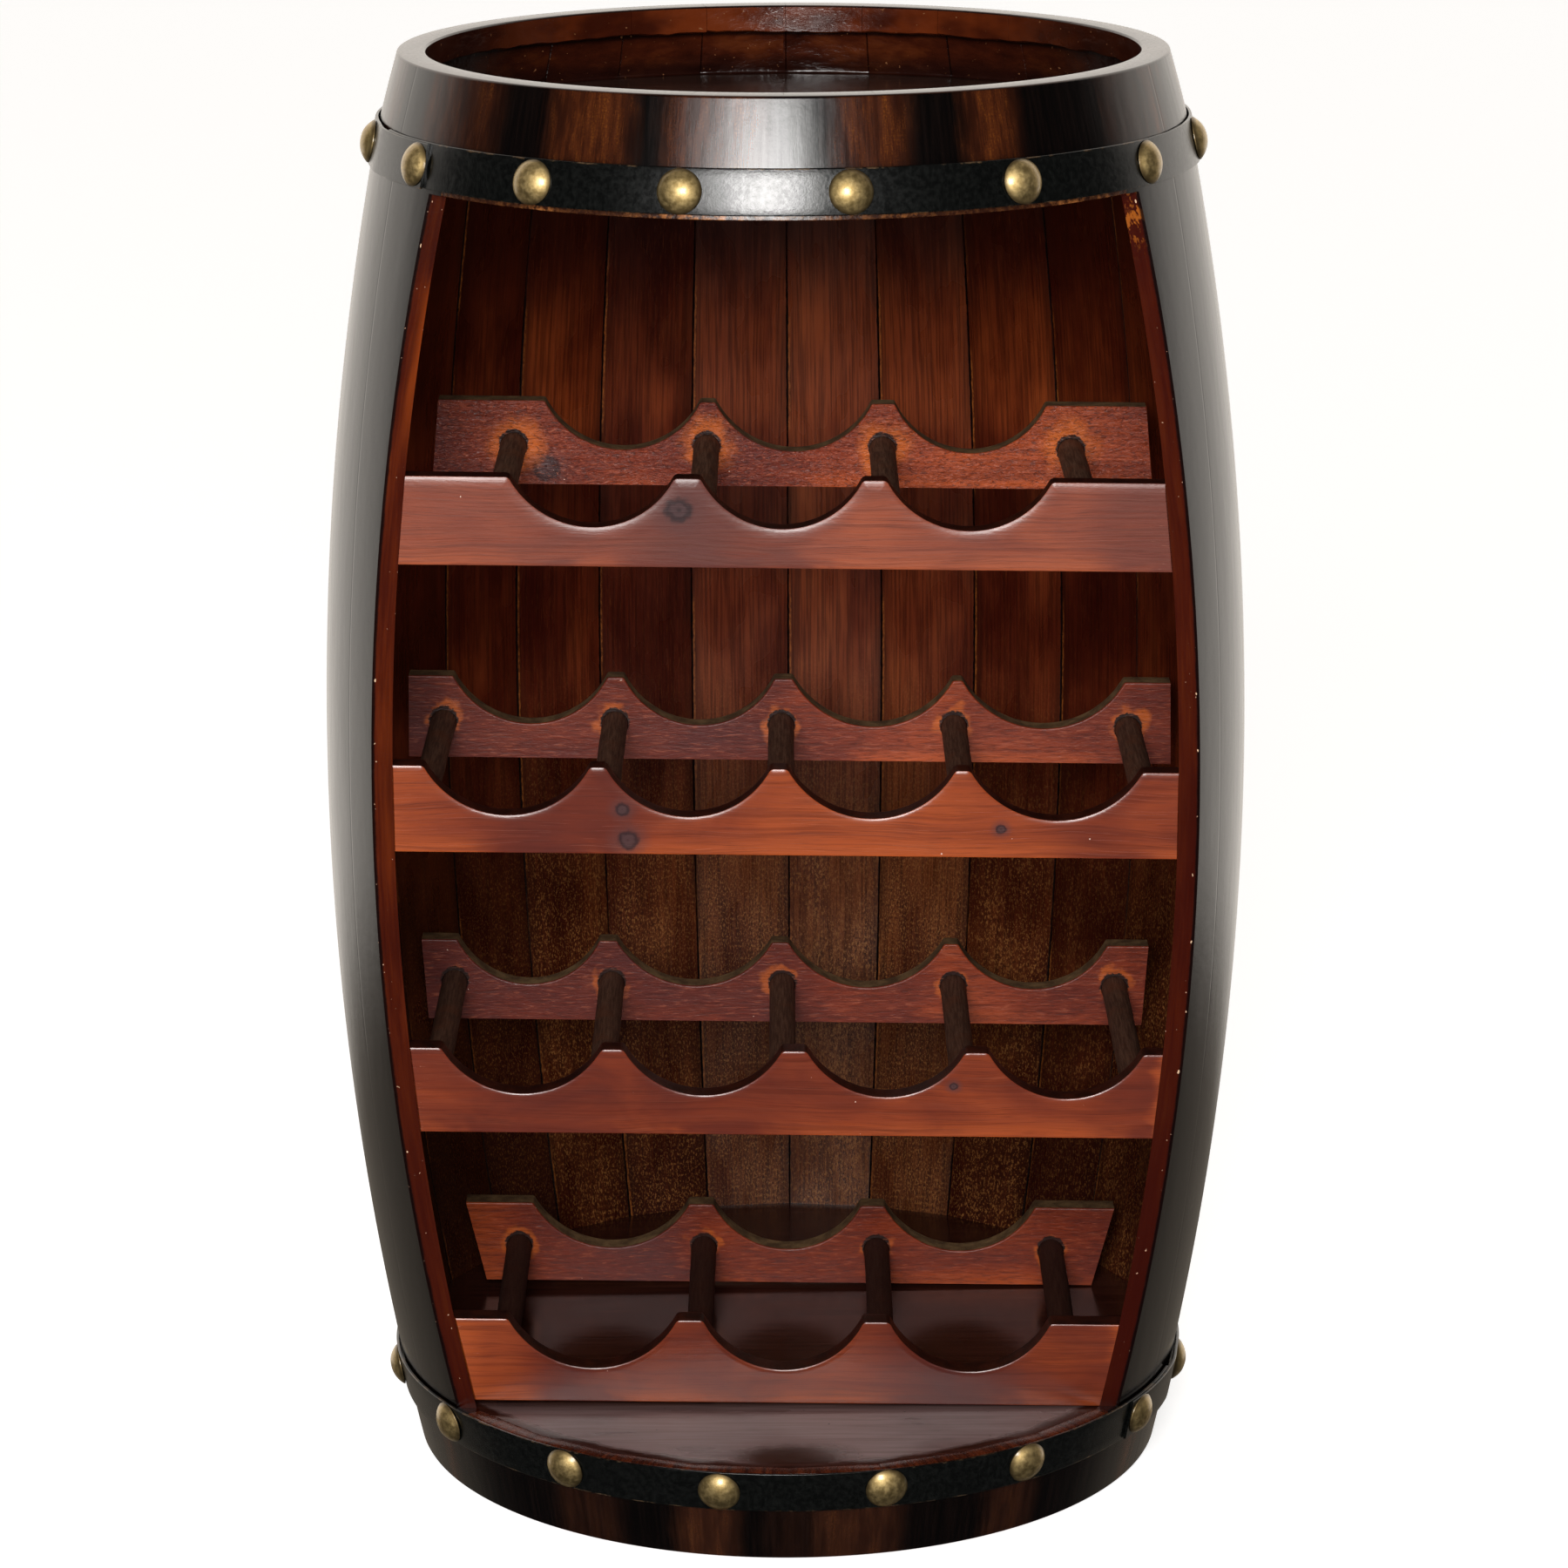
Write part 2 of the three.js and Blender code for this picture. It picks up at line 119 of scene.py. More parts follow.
class Graph:
    def __init__(self, name):
        self.mat = bpy.data.materials.new(name)
        self.mat.use_nodes = True
        self.t = self.mat.node_tree
        self.t.nodes.clear()
        self.out = self.t.nodes.new("ShaderNodeOutputMaterial")
        self.bsdf = self.t.nodes.new("ShaderNodeBsdfPrincipled")
        self.t.links.new(self.bsdf.outputs[0], self.out.inputs[0])
        self._obj = None

    def put(self, sock, v):
        if isinstance(v, V):
            self.t.links.new(v.s, sock)
        elif v is not None:
            if isinstance(v, (tuple, list)) and len(v) == 3 and sock.type == "RGBA":
                v = (*v, 1.0)
            sock.default_value = v

    def node(self, kind, **props):
        n = self.t.nodes.new(kind)
        for k, v in props.items():
            setattr(n, k, v)
        return n

    def math(self, op, a, b=None, c=None, clamp=False):
        n = self.node("ShaderNodeMath", operation=op, use_clamp=clamp)
        self.put(n.inputs[0], a)
        self.put(n.inputs[1], b)
        self.put(n.inputs[2], c)
        return V(self, n.outputs[0])

    def vmath(self, op, a, b=None, scale=None):
        n = self.node("ShaderNodeVectorMath", operation=op)
        self.put(n.inputs[0], a)
        self.put(n.inputs[1], b)
        if scale is not None:
            self.put(n.inputs["Scale"], scale)
        return V(self, n.outputs["Value" if op in ("LENGTH", "DISTANCE", "DOT_PRODUCT") else "Vector"])

    def where(self):
        """The surface point in millimetres, from the barrel's axis."""
        if self._obj is None:
            tc = self.node("ShaderNodeTexCoord")
            v = self.vmath("MULTIPLY", V(self, tc.outputs["Object"]), (1000, 1000, 1000))
            self._obj = self.vmath("SUBTRACT", v, (0, AXIS_Y, 0))
        return self._obj

    def split(self, v):
        n = self.node("ShaderNodeSeparateXYZ")
        self.put(n.inputs[0], v)
        return [V(self, o) for o in n.outputs]

    def join(self, x, y, z):
        n = self.node("ShaderNodeCombineXYZ")
        for i, v in enumerate((x, y, z)):
            self.put(n.inputs[i], v)
        return V(self, n.outputs[0])

    def attr(self, name, vector=False):
        n = self.node("ShaderNodeAttribute", attribute_name=name)
        return V(self, n.outputs["Vector" if vector else "Fac"])

    def noise(self, vec, scale=1.0, detail=3.0, rough=0.55, distort=0.0, out="Fac", dims="3D"):
        n = self.node("ShaderNodeTexNoise", noise_dimensions=dims)
        self.put(n.inputs["Vector"], vec)
        self.put(n.inputs["Scale"], scale)
        self.put(n.inputs["Detail"], detail)
        self.put(n.inputs["Roughness"], rough)
        self.put(n.inputs["Distortion"], distort)
        return V(self, n.outputs["Fac" if out == "Fac" else "Color"])

    def voronoi(self, vec, scale=1.0, feature="F1", rand=1.0, out="Distance"):
        n = self.node("ShaderNodeTexVoronoi", feature=feature)
        self.put(n.inputs["Vector"], vec)
        self.put(n.inputs["Scale"], scale)
        self.put(n.inputs["Randomness"], rand)
        return V(self, n.outputs[out])

    def step(self, v, lo, hi, a=0.0, b=1.0, smooth=True):
        n = self.node("ShaderNodeMapRange", interpolation_type="SMOOTHSTEP" if smooth else "LINEAR")
        n.clamp = True
        self.put(n.inputs[0], v)
        self.put(n.inputs[1], lo)
        self.put(n.inputs[2], hi)
        self.put(n.inputs[3], a)
        self.put(n.inputs[4], b)
        return V(self, n.outputs[0])

    def ramp(self, v, stops, mode="LINEAR"):
        n = self.node("ShaderNodeValToRGB")
        r = n.color_ramp
        r.interpolation = mode
        while len(r.elements) < len(stops):
            r.elements.new(0.5)
        for e, (pos, col) in zip(r.elements, stops):
            e.position = pos
            e.color = (*col, 1.0) if isinstance(col, (tuple, list)) else (col, col, col, 1.0)
        self.put(n.inputs[0], v)
        return V(self, n.outputs[0])

    def mix(self, fac, a, b, blend="MIX"):
        n = self.node("ShaderNodeMix", data_type="RGBA", blend_type=blend)
        n.clamp_factor = True
        self.put(n.inputs[0], fac)
        self.put(n.inputs[6], a)
        self.put(n.inputs[7], b)
        return V(self, n.outputs[2])

    def bump(self, height, depth, normal=None):
        """Height 0..1 times depth in millimetres."""
        n = self.node("ShaderNodeBump")
        n.inputs["Strength"].default_value = 1.0
        n.inputs["Distance"].default_value = depth / 1000.0
        self.put(n.inputs["Height"], height)
        self.put(n.inputs["Normal"], normal)
        return V(self, n.outputs[0])

    def finish(self, color, rough, normal=None, metallic=None, spec=None):
        self.put(self.bsdf.inputs["Base Color"], color)
        self.put(self.bsdf.inputs["Roughness"], rough)
        self.put(self.bsdf.inputs["Normal"], normal)
        if metallic is not None:
            self.put(self.bsdf.inputs["Metallic"], metallic)
        if spec is not None:
            self.bsdf.inputs["Specular IOR Level"].default_value = spec
        return self.mat


def azimuth(g):
    """Degrees round the barrel from the front, positive to the right."""
    x, y, z = g.split(g.where())
    return g.math("ARCTAN2", x, g.math("MULTIPLY", y, -1.0)) * (180.0 / math.pi), z


# ------------------------------------------------------------------ materials
def lacquer_material():
    """Dark lacquer of the outside, rubbed through in patches on the bands above and below the hoops."""
    g = Graph("barrel_lacquer")
    az, z = azimuth(g)
    p = g.where()
    arc = az * 4.1
    streak = g.noise(g.join(arc * 0.42, z * 0.022, 3.0), 1.0, 4, 0.55, 0.1)
    fine = g.noise(g.join(arc * 1.9, z * 0.10, 8.0), 1.0, 4, 0.62)
    cloud = g.noise(g.join(arc * 0.13, z * 0.030, 1.0), 1.0, 4, 0.58, 0.2)
    mott = g.noise(g.join(arc * 0.9, z * 0.9, 4.0), 1.0, 3, 0.6)
    wob = g.noise(g.join(arc * 0.07, z * 0.05, 7.0), 1.0, 3, 0.5)
    a = az + (wob - 0.5) * 2.0 + (streak - 0.5) * 1.8

    def patches(spots, shift):
        """Rubbed patches on the front, each with its place, half width and strength, and a looser rhythm round the back."""
        front = None
        for at, half, strength in spots:
            one = g.step(g.math("ABSOLUTE", a - at), half + 3.0, half - 2.6) * strength
            front = one if front is None else g.math("MAXIMUM", front, one)
        wave = g.math("SINE", (a + shift) * (math.pi / 10.0))
        rest = g.step(wave * 0.75 + (cloud - 0.5) * 2.6 + (streak - 0.5) * 1.2, -0.15, 1.15) * 0.75
        return g.mix(g.step(g.math("ABSOLUTE", az), 58, 64), front, rest)

    top = patches([(-53, 9.5, 0.38), (-27.5, 5.6, 0.80), (-9.5, 6.0, 0.74), (11.8, 4.3, 0.80), (29.6, 3.2, 0.92), (57, 6.0, 0.18)], 0)
    low = patches([(-30.5, 4.6, 0.24), (-11.9, 3.4, 0.72), (1.0, 3.4, 0.14), (9.8, 5.6, 0.52), (34.0, 3.6, 0.36)], 5)
    lower = g.step(z, 301, 300)
    band = g.split(g.mix(g.step(z, 300, 301), low, top))[0]
    ring = g.math("MAXIMUM", g.step(z, 762.0, 765.5), g.step(z, 31.0, 34.0, 1.0, 0.0))
    rub = band * ring * g.step(cloud, 0.28, 0.60, 0.45, 1.0)
    rub = rub * g.step(streak, 0.28, 0.66, 0.72, 1.0)
    gold = g.mix(g.step(fine * 0.25 + cloud * 0.50 + streak * 0.25, 0.40, 0.62), (0.038, 0.0080, 0.0022), (0.082, 0.0190, 0.0040))
    gold = g.mix(g.step(cloud * 0.35 + fine * 0.35 + mott * 0.30, 0.53, 0.64) * 0.58, gold, (0.215, 0.066, 0.0092))
    gold = g.mix(g.step(mott, 0.52, 0.40) * 0.30, gold, (0.030, 0.0070, 0.0028))
    gold = g.mix(lower * 0.62, gold, (0.034, 0.0112, 0.0040))
    base = g.mix(g.step(streak, 0.35, 0.75), (0.0011, 0.0006, 0.0005), (0.0036, 0.0015, 0.0011))
    base = g.mix(band * ring * 0.6, base, (0.026, 0.0056, 0.0022))
    col = g.mix(rub, base, gold)
    dust = g.step(g.noise(p, 0.9, 2, 0.7), 0.70, 0.74)
    col = g.mix(dust * 0.12, col, (0.06, 0.045, 0.035))
    rough = g.step(streak, 0.2, 0.8, 0.16, 0.22) + ring * 0.012
    lump = g.noise(g.join(arc * 0.05, z * 0.012, 2.0), 1.0, 2, 0.5)
    n = g.bump(lump, 0.20)
    n = g.bump(g.noise(p, 0.14, 2, 0.5), 0.048, n)
    n = g.bump(g.noise(p, 0.7, 3, 0.65), 0.020, n)
    n = g.bump(fine * ring, 0.022, n)
    s_, z_, e_ = g.split(g.attr("loc", True))
    seam = g.step(e_, 0.1, 1.3) + g.step(g.math("ABSOLUTE", az), 66.0, 60.0)
    n = g.bump(g.math("MINIMUM", seam, 1.0), 0.075, n)
    return g.finish(col, rough, n)


def rim_material():
    g = Graph("rim_lacquer")
    az, z = azimuth(g)
    p = g.where()
    broad = g.noise(p, 0.02, 3, 0.6)
    fine = g.noise(p, 0.5, 4, 0.65)
    col = g.mix(g.step(broad, 0.35, 0.7), (0.010, 0.0042, 0.0030), (0.040, 0.0135, 0.0075))
    col = g.mix(g.step(fine, 0.55, 0.75) * 0.5, col, (0.075, 0.030, 0.016))
    chip = g.step(g.noise(p, 0.35, 2, 0.5), 0.735, 0.75)
    col = g.mix(chip * 0.8, col, (0.36, 0.22, 0.12))
    n = g.bump(g.noise(p, 0.10, 3, 0.6), 0.06)
    n = g.bump(fine, 0.012, n)
    return g.finish(col, g.step(fine, 0.3, 0.7, 0.14, 0.21), n)


def wall_material():
    """Inside of the staves: stained planks with the grain upright, thin joints and a rough speckle low down."""
    g = Graph("stave_inside")
    s, z, e = g.split(g.attr("loc", True))
    seed = g.attr("seed")
    # painted light and shade: the 'tone' of each stave is lighter in the middle of the rear wall and darker towards the
    # left
    painted_stave_light = g.attr("tone")
    broad = g.noise(g.join(s * 0.020 + seed * 3.1, z * 0.0062, seed * 7.7), 1.0, 3, 0.55, 0.2)
    cloud = g.noise(g.join(s * 0.05 + seed, z * 0.022, seed * 5.0), 1.0, 2, 0.45)
    grain = g.noise(g.join(s * 0.75, z * 0.016, seed * 9.0), 1.0, 5, 0.62, 0.15)
    fine = g.noise(g.join(s * 2.6, z * 0.10, seed * 4.0), 1.0, 3, 0.6)
    speck = g.noise(g.join(s * 1.05, z * 0.52, seed * 2.0), 1.0, 2, 0.75)
    tone = broad * 0.66 + cloud * 0.34 + (painted_stave_light - 0.5) * 0.55
    col = g.ramp(tone, [(0.22, (0.025, 0.0026, 0.0014)), (0.40, (0.062, 0.0076, 0.0030)), (0.52, (0.114, 0.0170, 0.0054)),
                        (0.66, (0.206, 0.0390, 0.0098)), (0.82, (0.290, 0.0670, 0.0150))], "B_SPLINE")
    # painted light: a warm orange band across the inside between about 530 and 670 mm, where the lamp falls below the
    # top ring's shadow
    painted_light_band = g.step(z, 528, 560) * g.step(z, 668, 598)
    col = g.mix(painted_light_band * g.step(tone, 0.25, 0.70) * 0.56, col, (0.250, 0.0470, 0.0085))
    # painted shadow of the top ring: the inside darkens above about 604 mm
    col = g.mix(g.step(z, 604, 672) * 0.76, col, (0.019, 0.0024, 0.0012))
    low = g.step(z, 430, 200)
    # low down on the darker staves the inside darkens further: painted shade
    brown = g.ramp(tone + (painted_stave_light - 0.46) * 0.45 - g.step(z, 240, 120) * g.step(painted_stave_light, 0.50, 0.36) * 0.12, [(0.25, (0.025, 0.0038, 0.0018)), (0.42, (0.057, 0.0118, 0.0042)), (0.56, (0.106, 0.0272, 0.0078)), (0.75, (0.172, 0.0560, 0.0150))], "B_SPLINE")
    col = g.mix(low * 0.85, col, brown)
    col = g.mix(g.step(grain, 0.38, 0.60, 0.55, 0.0), col, (0.018, 0.0026, 0.0012))
    col = g.mix(g.step(fine, 0.56, 0.75) * 0.28, col, (0.25, 0.066, 0.014))
    where = low * g.step(cloud, 0.28, 0.64, 0.30, 1.0) * g.step(painted_stave_light, 0.25, 0.45, 0.35, 1.0)
    col = g.mix(g.step(speck, 0.545, 0.61) * where * 0.85, col, (0.29, 0.120, 0.034))
    col = g.mix(g.step(speck, 0.45, 0.37) * where * 0.85, col, (0.016, 0.0040, 0.0020))
    # joints: a smoky border, a thin dark line that comes and goes, and a bright line on one side of it
    fade = g.noise(g.join(seed * 3.0, z * 0.011, seed * 8.0), 1.0, 2, 0.5)
    jag = e + (g.noise(g.join(s * 0.1, z * 0.16, seed * 6.0), 1.0, 4, 0.75) - 0.5) * 1.6
    col = g.mix(g.step(jag, 9.0, 0.5) * g.step(cloud, 0.34, 0.62) * 0.55, col, (0.018, 0.0040, 0.0022))
    side = g.step(s, -1.0, 1.0)
    bright = g.step(jag, 0.5, 0.9) * g.step(jag, 2.1, 1.4) * side * g.step(fade, 0.42, 0.55) * g.step(cloud, 0.32, 0.50)
    crumb = g.step(g.noise(g.join(s * 0.6, z * 0.34, seed * 2.0), 1.0, 3, 0.7), 0.42, 0.58, 0.25, 1.0)
    col = g.mix(bright * crumb * 0.66, col, (0.33, 0.100, 0.019))
    col = g.mix(g.step(jag, 0.85, 0.35) * g.step(fade, 0.30, 0.46, 0.55, 1.0), col, (0.0045, 0.0016, 0.0013))
    rough = g.step(cloud, 0.3, 0.7, 0.25, 0.33)
    n = g.bump(grain, 0.07)
    n = g.bump(fine, 0.03, n)
    n = g.bump(speck * (where + 0.15), 0.12, n)
    return g.finish(col, rough, n, spec=0.24)


def recess_material():
    """Wall and lip round the tray: thick glossy red-brown lacquer, lumpy, orange where it is thin."""
    g = Graph("tray_wall")
    az, z = azimuth(g)
    p = g.where()
    s, zz, e = g.split(g.attr("loc", True))
    arc = az * 3.6
    broad = g.noise(g.join(arc * 0.016, z * 0.03, 4.0), 1.0, 3, 0.6)
    mid = g.noise(g.join(arc * 0.06, z * 0.14, 4.0), 1.0, 3, 0.6)
    fine = g.noise(p, 0.8, 3, 0.6)
    back = g.step(g.math("ABSOLUTE", az), 178, 120)
    col = g.ramp(broad * 0.6 + mid * 0.4, [(0.32, (0.016, 0.0030, 0.0016)), (0.5, (0.050, 0.0085, 0.0028)), (0.66, (0.115, 0.0245, 0.0052)), (0.8, (0.20, 0.052, 0.0095))])
    lip = g.step(z, 783, 785)
    # painted shade: darker towards the bottom of the wall, in the corner above the tray
    col = g.mix(g.step(z + (mid - 0.5) * 6.0, 774.0, 761.0) * 0.80, col, (0.0095, 0.0028, 0.0021))
    col = g.mix(lip * 0.75, col, g.mix(g.step(broad, 0.32, 0.60), (0.052, 0.0080, 0.0026), (0.185, 0.0320, 0.0062)))
    # painted shade: the wall darkens away from the rear of the tray, most at the sides and front
    col = g.mix(back * 0.35, col, (0.020, 0.0040, 0.0022))
    col = g.mix(g.step(g.math("ABSOLUTE", az), 148, 112) * 0.76, col, (0.009, 0.0028, 0.0019))
    # dark line just under the lip: partly a crack, partly painted shade under the overhanging lip
    crack_and_lip_shade = g.step(z + (mid - 0.5) * 3.0, 784.4, 783.4) * g.step(z, 780.5, 782.6)
    col = g.mix(crack_and_lip_shade * 0.7, col, (0.004, 0.0015, 0.0012))
    jag = e + (fine - 0.5) * 1.2
    col = g.mix(g.step(jag, 0.75, 0.25) * g.step(z, 784.5, 783.5) * g.step(g.noise(g.join(az * 0.09, 1.0, 1.0), 1.0, 1, 0.5), 0.40, 0.60, 0.15, 0.8), col, (0.005, 0.0018, 0.0014))
    chip = g.step(g.noise(p, 0.42, 2, 0.5), 0.72, 0.74)
    col = g.mix(chip * 0.7, col, (0.30, 0.13, 0.055))
    n = g.bump(mid, 0.55)
    n = g.bump(g.noise(p, 0.16, 3, 0.6), 0.20, n)
    n = g.bump(fine, 0.02, n)
    return g.finish(col, g.step(mid, 0.3, 0.7, 0.15, 0.24), n)


def panel_material(name, tray):
    """Round boards: glossy lacquer over straight grain."""
    g = Graph(name)
    p = g.where()
    x, y, z = g.split(p)
    grain = g.noise(g.join(x * 0.012, y * 0.33, 2.0), 1.0, 4, 0.6, 0.3)
    broad = g.noise(p, 0.013, 3, 0.6)
    fine = g.noise(g.join(x * 0.06, y * 1.4, 2.0), 1.0, 3, 0.6)
    if tray:
        col = g.mix(g.step(grain, 0.3, 0.7), (0.032, 0.0165, 0.0125), (0.070, 0.0400, 0.0310))
        rough = g.step(broad, 0.3, 0.7, 0.13, 0.20)
        n = g.bump(broad, 0.5)
    else:
        # pale milky colour in front of the racks, partly bloom on the lacquer and partly painted sheen; darker clear
        # lacquer in a patch in the middle, near the wall and behind the front boards, where it is painted shade under
        # the racks
        bloom_and_sheen = g.mix(g.step(grain, 0.3, 0.7), (0.185, 0.109, 0.103), (0.280, 0.186, 0.180))
        clear = g.mix(g.step(grain, 0.3, 0.7), (0.020, 0.0054, 0.0036), (0.052, 0.0150, 0.0098))
        d = g.vmath("DISTANCE", g.join(x * 0.55, y, 0.0), (1.7, -199.0, 0.0)) + (g.noise(p, 0.035, 3, 0.6) - 0.5) * 14.0
        blot = g.step(g.noise(g.join(x * 0.016, y * 0.05, 5.0), 1.0, 3, 0.55), 0.50, 0.66)
        edge = g.step(g.math("SQRT", x * x + y * y) + (g.noise(p, 0.06, 2, 0.5) - 0.5) * 7.0, 204.0, 211.0)
        # painted shade: the floor behind the front boards is kept dark
        deep = g.step(y, -140.0, -112.0)
        clear_and_shaded = g.math("MAXIMUM", g.math("MAXIMUM", g.step(d, 24.0, 10.0), edge), g.math("MAXIMUM", blot * 0.35, deep))
        col = g.mix(clear_and_shaded, bloom_and_sheen, clear)
        rough = g.step(clear_and_shaded, 0.0, 1.0, 0.30, 0.17)
        n = g.bump(broad, 0.25)
    spot = g.step(g.noise(p, 0.28, 2, 0.5), 0.745, 0.755)
    col = g.mix(spot, col, (0.012, 0.005, 0.004))
    n = g.bump(grain, 0.05, n)
    n = g.bump(fine, 0.018, n)
    return g.finish(col, rough, n)


def strip_material():
    """Sawn edges of the staves along the opening, and their ends above and below it."""
    g = Graph("stave_sawn_edge")
    p = g.where()
    x, y, z = g.split(p)
    r = g.math("SQRT", x * x + y * y)
    t = (z - 400.0) * (1 / 400.0)
    deep = (259.0 - t * t * 45.0) - r            # millimetres in from the outside
    side = g.step(x, -1.0, 1.0)
    grain = g.noise(g.join(deep * 0.5 + side * 30.0, z * 0.020, side * 5.0), 1.0, 5, 0.65, 0.4)
    broad = g.noise(g.join(side * 9.0, z * 0.0065, deep * 0.05), 1.0, 3, 0.6)
    fine = g.noise(p, 0.9, 3, 0.7)
    col = g.ramp(broad * 0.55 + grain * 0.45, [(0.30, (0.024, 0.0023, 0.0009)), (0.45, (0.044, 0.0048, 0.0012)), (0.56, (0.072, 0.0094, 0.0016)), (0.72, (0.130, 0.0240, 0.0028))])
    wide = g.step(deep, 7.0, 14.0)
    high = g.math("MAXIMUM", g.step(z, 582, 640) * g.step(z, 700, 674), g.step(z, 505, 440) * g.step(z, 330, 400) * 0.28) * (1.0 - side * 0.88)
    col = g.mix(g.step(deep, 3.0, 9.0) * g.step(broad, 0.33, 0.58, 0.30, 0.90) * high, col, (0.210, 0.0350, 0.0026))
    col = g.mix(g.step(z, 340, 170) * 0.70, col, (0.030, 0.0030, 0.0014))
    col = g.mix(g.step(z, 684, 708) * (1.0 - side) * 0.62, col, (0.018, 0.0020, 0.0010))
    col = g.mix(side * 0.52, col, (0.025, 0.0018, 0.0009))
    col = g.mix(wide * 0.36, col, (0.020, 0.0026, 0.0012))
    thin = g.step(g.noise(g.join(z * 0.10, deep * 0.30, side * 7.0), 1.0, 3, 0.7), 0.50, 0.58)
    col = g.mix(g.step(z, 700, 722) * side * thin * 0.75, col, (0.300, 0.0800, 0.0080))
    rim = deep + (g.noise(g.join(z * 0.06, side, 1.0), 1.0, 4, 0.7) - 0.5) * 1.6
    col = g.mix(g.step(rim, 2.0, 0.9) * 0.93, col, (0.003, 0.0014, 0.0014))
    chip = g.step(g.noise(g.join(z * 0.13, deep * 0.25, side * 4.0), 1.0, 2, 0.6), 0.715, 0.735) * g.step(deep, 5.0, 2.0)
    col = g.mix(chip, col, (0.55, 0.36, 0.23))
    speck = g.step(g.noise(p, 0.45, 2, 0.5), 0.755, 0.765)
    col = g.mix(speck, col, (0.42, 0.24, 0.16))
    n = g.bump(grain, 0.08)
    n = g.bump(fine, 0.03, n)
    return g.finish(col, g.step(fine, 0.3, 0.7, 0.17, 0.24), n, spec=0.12)


def end_material():
    """Sawn ends of the short staves, which frame the floor and the top of the opening."""
    g = Graph("stave_short_end")
    az, z = azimuth(g)
    p = g.where()
    n1 = g.noise(g.join(az * 0.8, z * 0.2, 1.0), 1.0, 4, 0.65)
    fine = g.noise(p, 0.9, 3, 0.7)
    low = g.mix(g.step(n1, 0.35, 0.7), (0.024, 0.0046, 0.0026), (0.135, 0.0270, 0.0085))
    lit = g.step(g.noise(g.join(az * 0.055, 2.0, 1.0), 1.0, 2, 0.5), 0.45, 0.60)
    high = g.mix(g.step(n1, 0.42, 0.64) * (0.12 + lit * 0.88), (0.022, 0.0060, 0.0026), (0.32, 0.115, 0.030))
    col = g.mix(g.step(z, 400, 401), low, high)
    n = g.bump(n1, 0.16)
    n = g.bump(fine, 0.05, n)
    return g.finish(col, g.step(fine, 0.3, 0.7, 0.18, 0.30), n)


ORANGE, MIDRED, DARKRED, PURPLE = (0.345, 0.064, 0.0095), (0.182, 0.0270, 0.0075), (0.084, 0.0115, 0.0058), (0.066, 0.0155, 0.0150)


